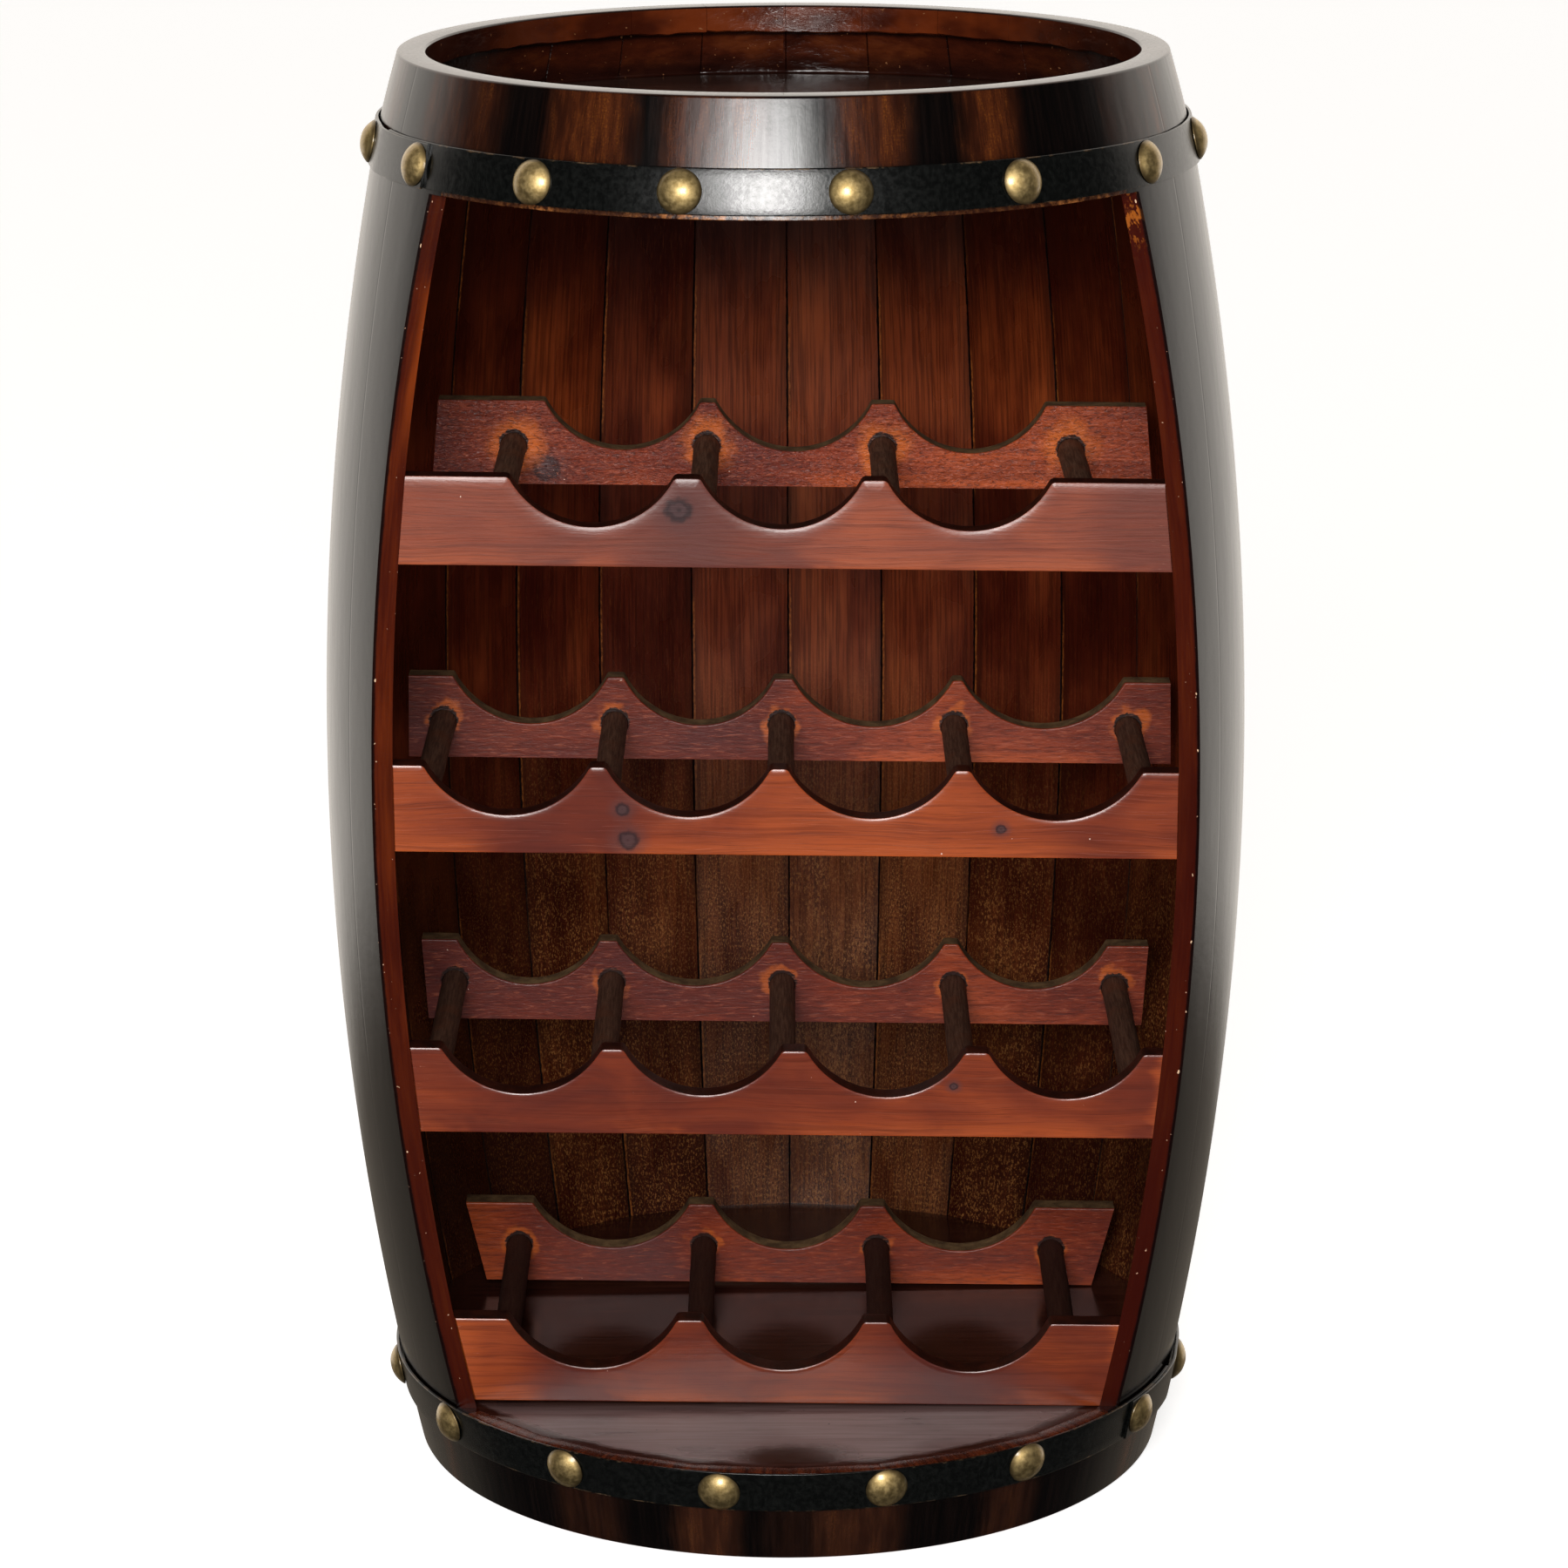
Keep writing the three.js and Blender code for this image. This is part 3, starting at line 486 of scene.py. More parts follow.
def board_material(name, warmth, knots=(), pegs=(), leather=0.0, pink_stain_and_sheen=0.0, top=0.0, rough_at=(0.24, 0.33), ends=None, scuffs=(), halo=(20.0, 0.85), peel=0.0):
    """Rack boards. warmth lists (x, 0..1) from purple brown to orange along the board; knots are (x, z, radius)."""
    g = Graph(name)
    p = g.where()
    x, y, z = g.split(p)
    zz = z + x * 0.014 - top                      # 0 at the top edge, -48.5 at the bottom
    k = float(sum(map(ord, name)) % 17)
    warp = g.noise(g.join(x * 0.008, zz * 0.03, k), 1.0, 2, 0.5)
    v = zz + (warp - 0.5) * 13.0
    grain = g.noise(g.join(x * 0.0065, v * 0.42, k * 1.3), 1.0, 4, 0.6, 0.1)
    streak = g.noise(g.join(x * 0.020, v * 1.30, k * 0.7), 1.0, 4, 0.62)
    hair = g.noise(g.join(x * 0.040, v * 2.6, k * 0.9), 1.0, 3, 0.6)
    broad = g.noise(g.join(x * 0.016, zz * 0.035, k * 2.0), 1.0, 3, 0.6, 0.5)
    lo, hi = warmth[0][0], warmth[-1][0]
    field = g.split(g.ramp(g.step(x + (broad - 0.5) * 26.0, lo, hi, smooth=False), [((a - lo) / (hi - lo), c) for a, c in warmth], "EASE"))[0]
    tone = field * 0.90 + (broad - 0.5) * 0.62 + 0.02
    col = g.ramp(tone, [(0.04, PURPLE), (0.24, DARKRED), (0.52, MIDRED), (0.90, ORANGE)], "B_SPLINE")
    # the lower edge is paler and more orange where the board is warm
    foot = g.step(zz + (broad - 0.5) * 14.0, -36.0, -47.0) * g.step(tone, 0.30, 0.55)
    col = g.mix(foot * 0.65, col, ORANGE)
    # pink over the stain: partly the boards' own pink-brown, partly painted sheen standing in for the gloss haze on the
    # front faces
    if pink_stain_and_sheen:
        col = g.mix(pink_stain_and_sheen, col, g.mix(g.step(grain, 0.35, 0.65), (0.215, 0.090, 0.072), (0.33, 0.150, 0.115)))
    col = g.mix(g.step(grain, 0.45, 0.64) * 0.40, col, (0.066, 0.0088, 0.0046))
    col = g.mix(g.step(streak, 0.56, 0.74) * 0.09, col, (0.38, 0.115, 0.045))
    col = g.mix(g.step(hair, 0.55, 0.66) * 0.42, col, (0.046, 0.0085, 0.0050))
    for kx, kz, kr in knots:
        wobble = (g.noise(p, 0.24, 3, 0.6) - 0.5) * kr * 0.8
        d = g.vmath("DISTANCE", g.join(x, 0.0, z * 1.12), (kx, 0.0, kz * 1.12)) + wobble
        col = g.mix(g.step(d, kr * 2.4, kr * 0.8) * 0.55, col, (0.080, 0.030, 0.028))
        rings = g.step(g.math("SINE", d * (5.2 / kr)), -0.4, 0.9)
        inner = g.mix(rings * 0.6, (0.022, 0.0130, 0.0150), (0.070, 0.036, 0.038))
        col = g.mix(g.step(d, kr * 1.15, kr * 0.70) * 0.86, col, inner)
    for sx, width in scuffs:                      # raw streaks at the ends of some boards
        near = g.step(g.math("ABSOLUTE", x - sx), width, width * 0.3)
        fleck = g.noise(g.join(x * 0.10, v * 0.9, k + 9.0), 1.0, 3, 0.7)
        col = g.mix(near * g.step(fleck, 0.63, 0.70) * 0.55, col, (0.40, 0.19, 0.12))
    if pegs:
        near = None
        for px_, pz_ in pegs:
            d = g.vmath("DISTANCE", g.join(x, 0.0, z), (px_, 0.0, pz_ + 1.5))
            near = d if near is None else g.math("MINIMUM", near, d)
        front = g.step(y, 68.0, 66.0)
        cloud = (g.noise(p, 0.055, 3, 0.6) - 0.5) * 26.0
        col = g.mix(g.step(near + cloud, halo[0], 7.5) * halo[1] * front, col, (0.46, 0.108, 0.0120))
        col = g.mix(g.step(near + (g.noise(p, 0.5, 2, 0.6) - 0.5) * 3.0, 8.9, 7.9) * front, col, (0.012, 0.0045, 0.0032))
    if leather:
        cell = g.vmath("MULTIPLY", p, (0.26 if leather > 0.9 else 0.090, 0.6, 0.66))
        pit = g.noise(cell, 1.0, 3, 0.68, 1.2 if leather > 0.9 else 0.5)
        wrinkle = g.noise(g.vmath("MULTIPLY", p, (0.12, 0.3, 0.42)), 1.0, 3, 0.6, 1.5)
        col = g.mix(g.step(pit, 0.49, 0.38) * (0.62 * leather), col, (0.030, 0.0058, 0.0042))
        col = g.mix(g.step(pit, 0.55, 0.66) * (0.40 * leather), col, (0.36, 0.105, 0.052))
        col = g.mix(1.0, col, (1.36, 1.24, 1.20), "MULTIPLY")
        n = g.bump(pit, 0.75 if leather > 0.9 else 0.17)
        n = g.bump(wrinkle, 0.95 if leather > 0.9 else 0.16, n)
    else:
        n = g.bump(grain, 0.075)
        n = g.bump(streak, 0.022, n)
        n = g.bump(g.noise(p, 0.05, 2, 0.5), 0.10, n)
        n = g.bump(g.noise(p, 1.0, 3, 0.7), 0.012, n)
        n = g.bump(g.noise(g.vmath("MULTIPLY", p, (0.30, 0.5, 0.46)), 1.0, 3, 0.62), peel, n)
    speck = g.step(g.noise(p, 0.36, 1, 0.5), 0.825, 0.84)
    col = g.mix(speck, col, (0.60, 0.42, 0.34))
    rough = g.step(streak, 0.3, 0.7, rough_at[0], rough_at[1])
    return g.finish(col, rough, n, spec=0.34 if leather else 0.5)


def edge_material(name, front):
    """Tops and scallops of the boards: dark on the front boards, dull olive brown on the rear ones."""
    g = Graph(name)
    p = g.where()
    a = g.noise(p, 0.11, 4, 0.65)
    b = g.noise(p, 0.9, 3, 0.7)
    if front:
        col = g.mix(g.step(a, 0.35, 0.7), (0.012, 0.0030, 0.0020), (0.046, 0.0092, 0.0045))
        col = g.mix(g.step(b, 0.66, 0.74) * 0.4, col, (0.12, 0.045, 0.022))
        rough, depth = g.step(b, 0.3, 0.7, 0.34, 0.46), 0.05
    else:
        col = g.mix(g.step(a, 0.35, 0.7), (0.075, 0.0400, 0.0180), (0.200, 0.120, 0.0520))
        col = g.mix(g.step(b, 0.56, 0.68) * 0.6, col, (0.290, 0.185, 0.095))
        rough, depth = g.step(b, 0.3, 0.7, 0.62, 0.80), 0.10
    return g.finish(col, rough, g.bump(b, depth), spec=0.3)


def dowel_material():
    g = Graph("dowel_stain")
    p = g.where()
    x, y, z = g.split(p)
    a = g.noise(g.join(x * 0.9, y * 0.05, z * 0.9), 1.0, 4, 0.65)
    b = g.noise(p, 1.3, 3, 0.7)
    c = g.noise(p, 0.035, 3, 0.6)
    col = g.mix(g.step(a, 0.35, 0.68), (0.056, 0.0240, 0.0140), (0.150, 0.0740, 0.0450))
    col = g.mix(g.step(c, 0.52, 0.68) * 0.5, col, (0.150, 0.046, 0.020))
    col = g.mix(g.step(b, 0.62, 0.72) * 0.35, col, (0.165, 0.105, 0.072))
    # painted shade: the dowels darken below about 470 mm, and much more in the bottom row, in the shade of the boards
    # above
    col = g.mix(g.step(z, 470, 380) * 0.34, col, (0.026, 0.0090, 0.0058))
    col = g.mix(g.step(z, 165, 110) * 0.80, col, (0.020, 0.0040, 0.0026))
    n = g.bump(a, 0.12)
    n = g.bump(b, 0.05, n)
    return g.finish(col, g.step(b, 0.3, 0.7, 0.60, 0.75), n, spec=0.17)


def hoop_material():
    """Satin black painted strap with a fine pebbled skin."""
    g = Graph("hoop_paint")
    p = g.where()
    az, z = azimuth(g)
    small = g.noise(p, 0.35, 3, 0.6)
    pebble = g.noise(p, 0.95, 2, 0.55)
    col = g.mix(g.step(small, 0.35, 0.7), (0.0013, 0.0015, 0.0013), (0.0036, 0.0040, 0.0035))
    t = g.math("MINIMUM", g.math("ABSOLUTE", z - 741.0), g.math("ABSOLUTE", z - 764.5))
    u = g.math("MINIMUM", g.math("ABSOLUTE", z - 31.5), g.math("ABSOLUTE", z - 55.0))
    d = g.math("MINIMUM", t, u) + (small - 0.5) * 1.6
    worn = g.step(d, 0.65, 0.2) * g.step(g.noise(p, 0.10, 3, 0.6), 0.50, 0.62)
    col = g.mix(worn * 0.6, col, (0.11, 0.065, 0.032))
    n = g.bump(g.noise(p, 0.030, 2, 0.5), 0.10)
    n = g.bump(g.noise(g.vmath("MULTIPLY", p, (0.42, 0.42, 0.60)), 1.0, 3, 0.62), 0.060, n)
    n = g.bump(pebble, 0.020, n)
    return g.finish(col, g.step(small, 0.3, 0.7, 0.20, 0.27), n, spec=0.66)


def nail_material():
    """Aged brass: patina in the hollows; the dark ring round the rim is partly patina and partly painted shade."""
    g = Graph("nail_brass")
    p = g.where()
    rad = g.attr("rad")
    seed = g.attr("seed")
    a = g.noise(g.vmath("ADD", p, g.join(seed * 90.0, 0.0, seed * 50.0)), 0.32, 4, 0.65)
    b = g.noise(p, 1.6, 3, 0.7)
    col = g.mix(g.step(a, 0.32, 0.68), (0.470, 0.330, 0.130), (0.760, 0.570, 0.260))
    col = g.mix(g.step(b, 0.60, 0.72) * 0.40, col, (0.120, 0.082, 0.040))
    # the dark ring round the rim: partly patina, partly painted shade where the dome turns away from the lamp
    ring = rad + (a - 0.5) * 0.10
    col = g.mix(g.step(ring, 0.84, 0.99) * 0.70, col, (0.100, 0.062, 0.028))
    rough = g.step(a, 0.3, 0.7, 0.50, 0.60) + g.step(rad, 0.85, 1.0) * 0.04
    n = g.bump(a, 0.14)
    n = g.bump(b, 0.025, n)
    g.bsdf.inputs["Coat Weight"].default_value = 0.80
    g.bsdf.inputs["Coat Roughness"].default_value = 0.16
    return g.finish(col, rough, n, metallic=1.0)


M = {
    "lacquer": lacquer_material(),
    "rim": rim_material(),
    "wall": wall_material(),
    "recess": recess_material(),
    "strip": strip_material(),
    "end": end_material(),
    "tray": panel_material("tray_lacquer", True),
    "floor": panel_material("floor_lacquer", False),
    "hoop": hoop_material(),
    "nail": nail_material(),
    "dowel": dowel_material(),
    "dark_edge": edge_material("front_board_edge", True),
    "dull_edge": edge_material("rear_board_edge", False),
}


# ------------------------------------------------------------------ meshes
def to_metres(co):
    co = np.asarray(co, float)
    return (co + np.array([0.0, AXIS_Y, 0.0])) / 1000.0


def make_object(name, verts, faces, mats, face_mats=None, attrs=None, replaces=()):
    me = bpy.data.meshes.new(name)
    me.from_pydata(to_metres(verts).tolist(), [], [list(map(int, f)) for f in faces])
    for m in mats:
        me.materials.append(M[m] if isinstance(m, str) else m)
    if face_mats is not None:
        me.polygons.foreach_set("material_index", np.asarray(face_mats, np.int32))
    for key, val in (attrs or {}).items():
        val = np.asarray(val, np.float32)
        kind = "FLOAT_VECTOR" if val.ndim == 2 else "FLOAT"
        a = me.attributes.new(key, kind, "POINT")
        a.data.foreach_set("vector" if val.ndim == 2 else "value", val.ravel())
    me.update()
    o = bpy.data.objects.new(name, me)
    bpy.context.scene.collection.objects.link(o)
    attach(o, "root")
    if replaces:
        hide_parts(*replaces)
    return o


def polar(az, r, z):
    a = np.radians(az)
    return np.stack([r * np.sin(a), -r * np.cos(a), z + 0 * a], -1)


def loft(rings, closed_ends=True):
    """Faces of a tube through rings of equal point count; rings is (m, n, 3)."""
    m, n = len(rings), len(rings[0])
    faces = []
    for i in range(m - 1):
        for j in range(n):
            k = (j + 1) % n
            faces.append((i * n + j, i * n + k, (i + 1) * n + k, (i + 1) * n + j))
    if closed_ends:
        faces.append(tuple(range(n - 1, -1, -1)))
        faces.append(tuple((m - 1) * n + j for j in range(n)))
    return faces


ROUND_OUT, ROUND_IN = 1.4, 1.6
N_OUT, N_IN = 12, 8
LIP_Z, LIP_R = 784.0, 195.4


def outer_profile(z, z0, z1):
    """Radius and the normal (radial, up) of the outside at height z, with the rim's and the foot's edges rounded."""
    top = HEIGHT - ROUND_OUT
    r = float(outside(min(z, top)))
    k = float(slope(z))
    if z > top + 1e-6:
        s = min(1.0, (z - top) / ROUND_OUT)
        c = math.sqrt(max(0.0, 1 - s * s))
        return r - ROUND_OUT * (1 - c), (max(c, 0.02), s)
    if z < 1.2:
        s = (1.2 - z) / 1.2
        return float(outside(z)) - 1.0 * (1 - math.sqrt(max(0.0, 1 - s * s))), (1.0, -k)
    return float(outside(z)), (1.0, -k)


def stave(name, a0, a1, z0, z1, seed, tone=0.5, replaces=(), cut=False):
    """One stave between two joints: curved outside, flat inside with eased corners, the rim's lip above the tray."""
    mid = 0.5 * (a0 + a1)
    r_ = np.random.default_rng(1000 + seed)
    off = r_.uniform(-0.35, 0.35)
    ease = r_.uniform(0.18, 0.42)
    lean = r_.uniform(-0.5, 0.5)
    levels = []
    body = [0.0, 0.35, 1.2, 8, 18, 31.5, 43, 54.5] if z0 == 0 else []
    levels += body
    if z0 == 0 and z1 > 100:
        levels += list(np.linspace(70, 725, 44))
    if z1 > 700:
        start = [738.5, 738.9, 741.5] if z0 > 0 else [738.5]
        levels += start + [744, 749, 754, 757, 758.5, 758.62, 758.8, 759.05, 759.35, 759.7, 760.1] + list(np.arange(761.5, 781, 2.6)) + [782.2, 783.2, 783.8, 784.0, 784.15, 784.5, 785.4, 787, 790, 793.5]
        levels += [HEIGHT - ROUND_OUT + ROUND_OUT * math.sin(math.radians(t)) for t in (0, 15, 30, 45, 60, 75, 90)]
    if z1 < 100:
        levels = [z for z in levels if z < z1 - 1.2] + [z1 - 1.0, z1 - 0.65, z1 - 0.25, z1]
    levels = sorted(set(round(z, 4) for z in levels))
    rings, locs, normals = [], [], []
    az_out = np.linspace(a0, a1, N_OUT + 1)
    for z in levels:
        ro, nrm = outer_profile(z, z0, z1)
        d = float(inside(z)) + off + lean * (z - 400) / 1600
        lip = z > LIP_Z + 0.1
        rl = LIP_R
        shrink_out = shrink_in = 0.0
        if z1 < 100 and z > z1 - 1.0:                      # eased end of a short stave
            s = (z - (z1 - 1.0)) / 1.0
            shrink_out = shrink_in = 1.0 * (1 - math.sqrt(max(0.0, 1 - s * s)))
        if z0 > 0 and z < z0 + 0.8:
            s = (z0 + 0.8 - z) / 0.8
            shrink_out = shrink_in = 0.8 * (1 - math.sqrt(max(0.0, 1 - s * s)))
        if lip:
            t = z - LIP_Z
            if t < 1.5:
                rl += (1.5 - t) ** 2 * 2.2
            if z > HEIGHT - ROUND_IN:
                s = min(1.0, (z - (HEIGHT - ROUND_IN)) / ROUND_IN)
                rl += ROUND_IN * (1 - math.sqrt(max(0.0, 1 - s * s)))
        eps = math.degrees(0.12 / max(d, 1.0))
        chf = math.degrees((ease if not lip else 0.5) / max(d, 1.0))
        az_in = np.concatenate([[a1 - eps], np.linspace(a1 - eps - chf, a0 + eps + chf, N_IN + 1), [a0 + eps]])
        flat = d / np.cos(np.radians(az_in - mid))
        ri = flat.copy()
        if lip:
            ri = np.minimum(flat, rl + 0 * flat)
        elif z > LIP_Z - 0.1:
            ri = flat - 0.4
        if z > TRAY_TOP and not lip:                       # above the tray the wall is filled and rubbed round
            k = min(1.0, (z - TRAY_TOP) / 4.0)
            ri = ri * (1 - k) + (d * (1 + 0.60 * (1 / math.cos(math.radians(0.5 * (a1 - a0))) - 1)) - 0.2) * k
        if TRAY_TOP - 0.01 < z < TRAY_TOP + 1.7:           # lacquer pooled in the corner
            t = (TRAY_TOP + 1.7 - z) / 1.7
            ri = ri - 1.6 * (1 - math.sqrt(max(0.0, 1 - t * t)))
        groove = 0.0 if lip else ease if z < TRAY_TOP or z > TRAY_TOP + 1.7 else 0.05
        ri[0] += groove
        ri[-1] += groove
        if z > 745:                                        # thick uneven lacquer round the tray
            w = lattice_noise(np.stack([az_in * 0.14, np.full_like(az_in, z * 0.09), np.full_like(az_in, 3.0)], -1), 5)
            ri = ri + 0.32 * w * (1.0 if z < HEIGHT - 4 else 0.2)
        ri = ri + shrink_in
        zi = np.full_like(az_in, z)
        if 781 < z < 786.5:                                # the lip's lower edge wanders
            zi = zi + 0.75 * lattice_noise(np.stack([az_in * 0.22, 0 * az_in, 0 * az_in], -1), 9) + 0.5 * lattice_noise(np.stack([az_in * 0.9, 0 * az_in, 0 * az_in], -1), 4)
        po = polar(az_out, ro - shrink_out, np.full_like(az_out, z))
        s1 = polar(np.array([a1 - eps * 0.5]), np.array([0.35 * ro + 0.65 * ri[0]]), np.array([z]))
        pi = polar(az_in, ri, zi)
        s0 = polar(np.array([a0 + eps * 0.5]), np.array([0.35 * ro + 0.65 * ri[-1]]), np.array([z]))
        rings.append(np.concatenate([po, s1, pi, s0]))
        az_all = np.concatenate([az_out, [a1], az_in, [a0]])
        across = np.radians(az_all - mid) * d
        edge = np.radians(np.minimum(az_all - a0, a1 - az_all)) * d
        locs.append(np.stack([across, np.full_like(across, z), edge], -1))
        normals.append(nrm)
    n = len(rings[0])
    co = np.concatenate(rings)
    faces = loft(rings)
    nf = n * (len(levels) - 1)
    fm = np.zeros(len(faces), np.int32)
    for i in range(len(levels) - 1):
        zc = 0.5 * (levels[i] + levels[i + 1])
        for j in range(n):
            if j < N_OUT:
                k = 1 if zc > HEIGHT - ROUND_OUT * 0.55 else 0
            elif zc > HEIGHT - ROUND_IN * 0.75:
                k = 1
            elif zc > 744:
                k = 3
            else:
                k = 2
            if z1 < 100 and zc > z1 - 0.5:
                k = 5
            if z0 > 0 and (zc < z0 + 0.5 or j < N_OUT and zc < 741.2):
                k = 5
            fm[i * n + j] = k
    fm[nf] = 5 if z0 > 0 else 2
    fm[nf + 1] = 5 if z1 < 100 else 1
    attrs = {"loc": np.concatenate(locs), "seed": np.full(len(co), r_.uniform(0, 1)), "tone": np.full(len(co), tone)}
    o = make_object(name, co, faces, ["lacquer", "rim", "wall", "recess", "strip", "end"], fm, attrs, replaces)
    if cut:
        cut_front(o, a0 > 180 or a0 < 0)
    shade(o, outer=0, rim=1)
    return o


def cut_front(o, left):
    """Rips a stave along the flat front of the opening, with lightly eased edges."""
    box = bpy.data.meshes.new("saw")
    x0, x1, y0, y1, z0, z1 = -400, 400, -600, -FRONT, OPEN_LOW, OPEN_HIGH
    v = [(x0, y0, z0), (x1, y0, z0), (x1, y1, z0), (x0, y1, z0), (x0, y0, z1), (x1, y0, z1), (x1, y1, z1), (x0, y1, z1)]
    f = [(0, 3, 2, 1), (4, 5, 6, 7), (0, 1, 5, 4), (1, 2, 6, 5), (2, 3, 7, 6), (3, 0, 4, 7)]
    box.from_pydata(to_metres(v).tolist(), [], f)
    for m in ("lacquer", "rim", "wall", "recess", "strip", "end"):
        box.materials.append(M[m])
    box.polygons.foreach_set("material_index", np.array([4] * 6, np.int32))
    tool = bpy.data.objects.new("saw", box)
    bpy.context.scene.collection.objects.link(tool)
    mod = o.modifiers.new("rip", "BOOLEAN")
    mod.operation, mod.solver, mod.object = "DIFFERENCE", "EXACT", tool
    mod.material_mode = "INDEX"
    apply_modifiers(o)
    bpy.data.objects.remove(tool)
    bpy.data.meshes.remove(box)
    # ease the long edges between the saw cut and the two sides of the stave
    bm = bmesh.new()
    bm.from_mesh(o.data)
    edges = []
    for e in bm.edges:
        if len(e.link_faces) != 2:
            continue
        a, b = (f.material_index for f in e.link_faces)
        if (a == 4) != (b == 4):
            vs = [v.co * 1000 for v in e.verts]
            if all(abs((v.y - AXIS_Y) + FRONT) < 0.01 for v in vs) and abs(vs[0].z - vs[1].z) > 0.5:
                edges.append(e)
    if edges:
        bmesh.ops.bevel(bm, geom=edges, offset=0.0004, offset_type="OFFSET", segments=3, profile=0.5, affect="EDGES", material=4, clamp_overlap=True)
    bm.to_mesh(o.data)
    bm.free()
    o.data.update()
    redo_loc(o)


def redo_loc(o):
    """After a cut, puts back the plank coordinates of new points from their place."""
    me = o.data
    a = me.attributes.get("loc")
    if a is None:
        return
    n = len(me.vertices)
    val = np.zeros(n * 3, np.float32)
    a.data.foreach_get("vector", val)
    val = val.reshape(-1, 3)
    co = np.zeros(n * 3, np.float32)
    me.vertices.foreach_get("co", co)
    val[:, 1] = co.reshape(-1, 3)[:, 2] * 1000
    a.data.foreach_set("vector", val.ravel())
    for key in ("seed", "tone"):
        s = me.attributes.get(key)
        sv = np.zeros(n, np.float32)
        s.data.foreach_get("value", sv)
        good = sv[sv > 1e-6]
        if len(good):
            sv[:] = float(np.median(good))
            s.data.foreach_set("value", sv)


def apply_modifiers(o):
    dep = bpy.context.evaluated_depsgraph_get()
    me = bpy.data.meshes.new_from_object(o.evaluated_get(dep), preserve_all_data_layers=True, depsgraph=dep)
    old = o.data
    o.modifiers.clear()
    o.data = me
    bpy.data.meshes.remove(old)


def shade(o, outer=None, rim=None, angle=32.0):
    """Smooth shading with sharp corners; the outside takes the barrel's own normals, so no joint shows in its gloss."""
    me = o.data
    me.polygons.foreach_set("use_smooth", np.ones(len(me.polygons), bool))
    bm = bmesh.new()
    bm.from_mesh(me)
    lim = math.radians(angle)
    for e in bm.edges:
        if len(e.link_faces) == 2:
            e.smooth = e.calc_face_angle(0.0) < lim
        else:
            e.smooth = False
    bm.to_mesh(me)
    bm.free()
    me.update()
    if outer is None:
        return
    nl = len(me.loops)
    nrm = np.zeros(nl * 3, np.float32)
    me.corner_normals.foreach_get("vector", nrm)
    nrm = nrm.reshape(-1, 3)
    lv = np.zeros(nl, np.int32)
    me.loops.foreach_get("vertex_index", lv)
    co = np.zeros(len(me.vertices) * 3, np.float32)
    me.vertices.foreach_get("co", co)
    co = co.reshape(-1, 3) * 1000 - np.array([0, AXIS_Y, 0], np.float32)
    r = np.hypot(co[:, 0], co[:, 1])
    want = outside(np.minimum(co[:, 2], HEIGHT - ROUND_OUT))
    face_of = np.zeros(nl, np.int32)
    mi = np.zeros(len(me.polygons), np.int32)
    me.polygons.foreach_get("material_index", mi)
    for p in me.polygons:
        face_of[p.loop_start:p.loop_start + p.loop_total] = p.index
    fn = np.zeros(len(me.polygons) * 3, np.float32)
    me.polygons.foreach_get("normal", fn)
    fn = fn.reshape(-1, 3)
    cz = co[lv]
    rad = np.stack([cz[:, 0], cz[:, 1]], -1) / np.maximum(1e-6, np.hypot(cz[:, 0], cz[:, 1]))[:, None]
    out_face = (fn[face_of, 0] * rad[:, 0] + fn[face_of, 1] * rad[:, 1]) > 0.15
    near = (np.abs(r[lv] - want[lv]) < ROUND_OUT + 0.1) & out_face & np.isin(mi[face_of], [outer, rim])
    top = HEIGHT - ROUND_OUT
    up = -slope(cz[:, 2])
    nr = np.ones(nl)
    in_round = cz[:, 2] > top + 1e-3
    s = np.clip((cz[:, 2] - top) / ROUND_OUT, 0, 1)
    nr = np.where(in_round, np.sqrt(np.maximum(1 - s * s, 4e-4)), 1.0)
    up = np.where(in_round, s + up * nr, up)
    n3 = np.stack([rad[:, 0] * nr, rad[:, 1] * nr, up], -1)
    n3 /= np.linalg.norm(n3, axis=1)[:, None]
    nrm[near] = n3[near]
    # the lip is one round surface to the eye
    lip = (mi[face_of] == 3) & (fn[face_of, 0] * rad[:, 0] + fn[face_of, 1] * rad[:, 1] < -0.97) & (cz[:, 2] > LIP_Z + 1.6)
    nrm[lip] = np.stack([-rad[:, 0], -rad[:, 1], 0 * rad[:, 0]], -1)[lip]
    sawn = (mi[face_of] == 4) & (fn[face_of, 1] < -0.995)
    nrm[sawn] = (0.0, -1.0, 0.0)
    me.normals_split_custom_set(nrm.tolist())


# ---- staves
# Lightness of each stave's inside: painted light in the middle of the rear wall, where the lamp falls, and painted
# shade towards the left
STAVE_TONES_AND_LIGHT = {"right_stave": [0.42, 0.40, 0.46, 0.44, 0.40], "rear_stave": [0.32, 0.42, 0.62, 0.68, 0.60, 0.40, 0.42, 0.33],
         "left_stave": [0.30, 0.28, 0.32, 0.36, 0.40]}
seed = 1
for group, joints in (("right_stave", RIGHT_JOINTS), ("rear_stave", REAR_JOINTS), ("left_stave", LEFT_JOINTS)):
    for i in range(1, len(joints)):
        a0, a1 = joints[i - 1], joints[i]
        cut = (group == "right_stave" and i == 1) or (group == "left_stave" and i == len(joints) - 1)
        if a0 > 180:
            a0, a1 = a0 - 360, a1 - 360
        stave(f"{group}_{i}_plank", a0, a1, 0.0, HEIGHT, seed, STAVE_TONES_AND_LIGHT[group][i - 1], replaces=(f"{group}_{i}",), cut=cut)
        seed += 1
for i in range(1, len(FRONT_JOINTS)):
    a0, a1 = FRONT_JOINTS[i - 1], FRONT_JOINTS[i]
    pair = (i + 1) // 2
    stave(f"front_top_stave_{i}", a0, a1, OPEN_HIGH, HEIGHT, seed, replaces=(f"front_top_stave_pair_{pair}",) if i % 2 else ())
    stave(f"front_bottom_stave_{i}", a0, a1, 0.0, OPEN_LOW, seed + 40, replaces=(f"front_bottom_stave_pair_{pair}",) if i % 2 else ())
    seed += 1


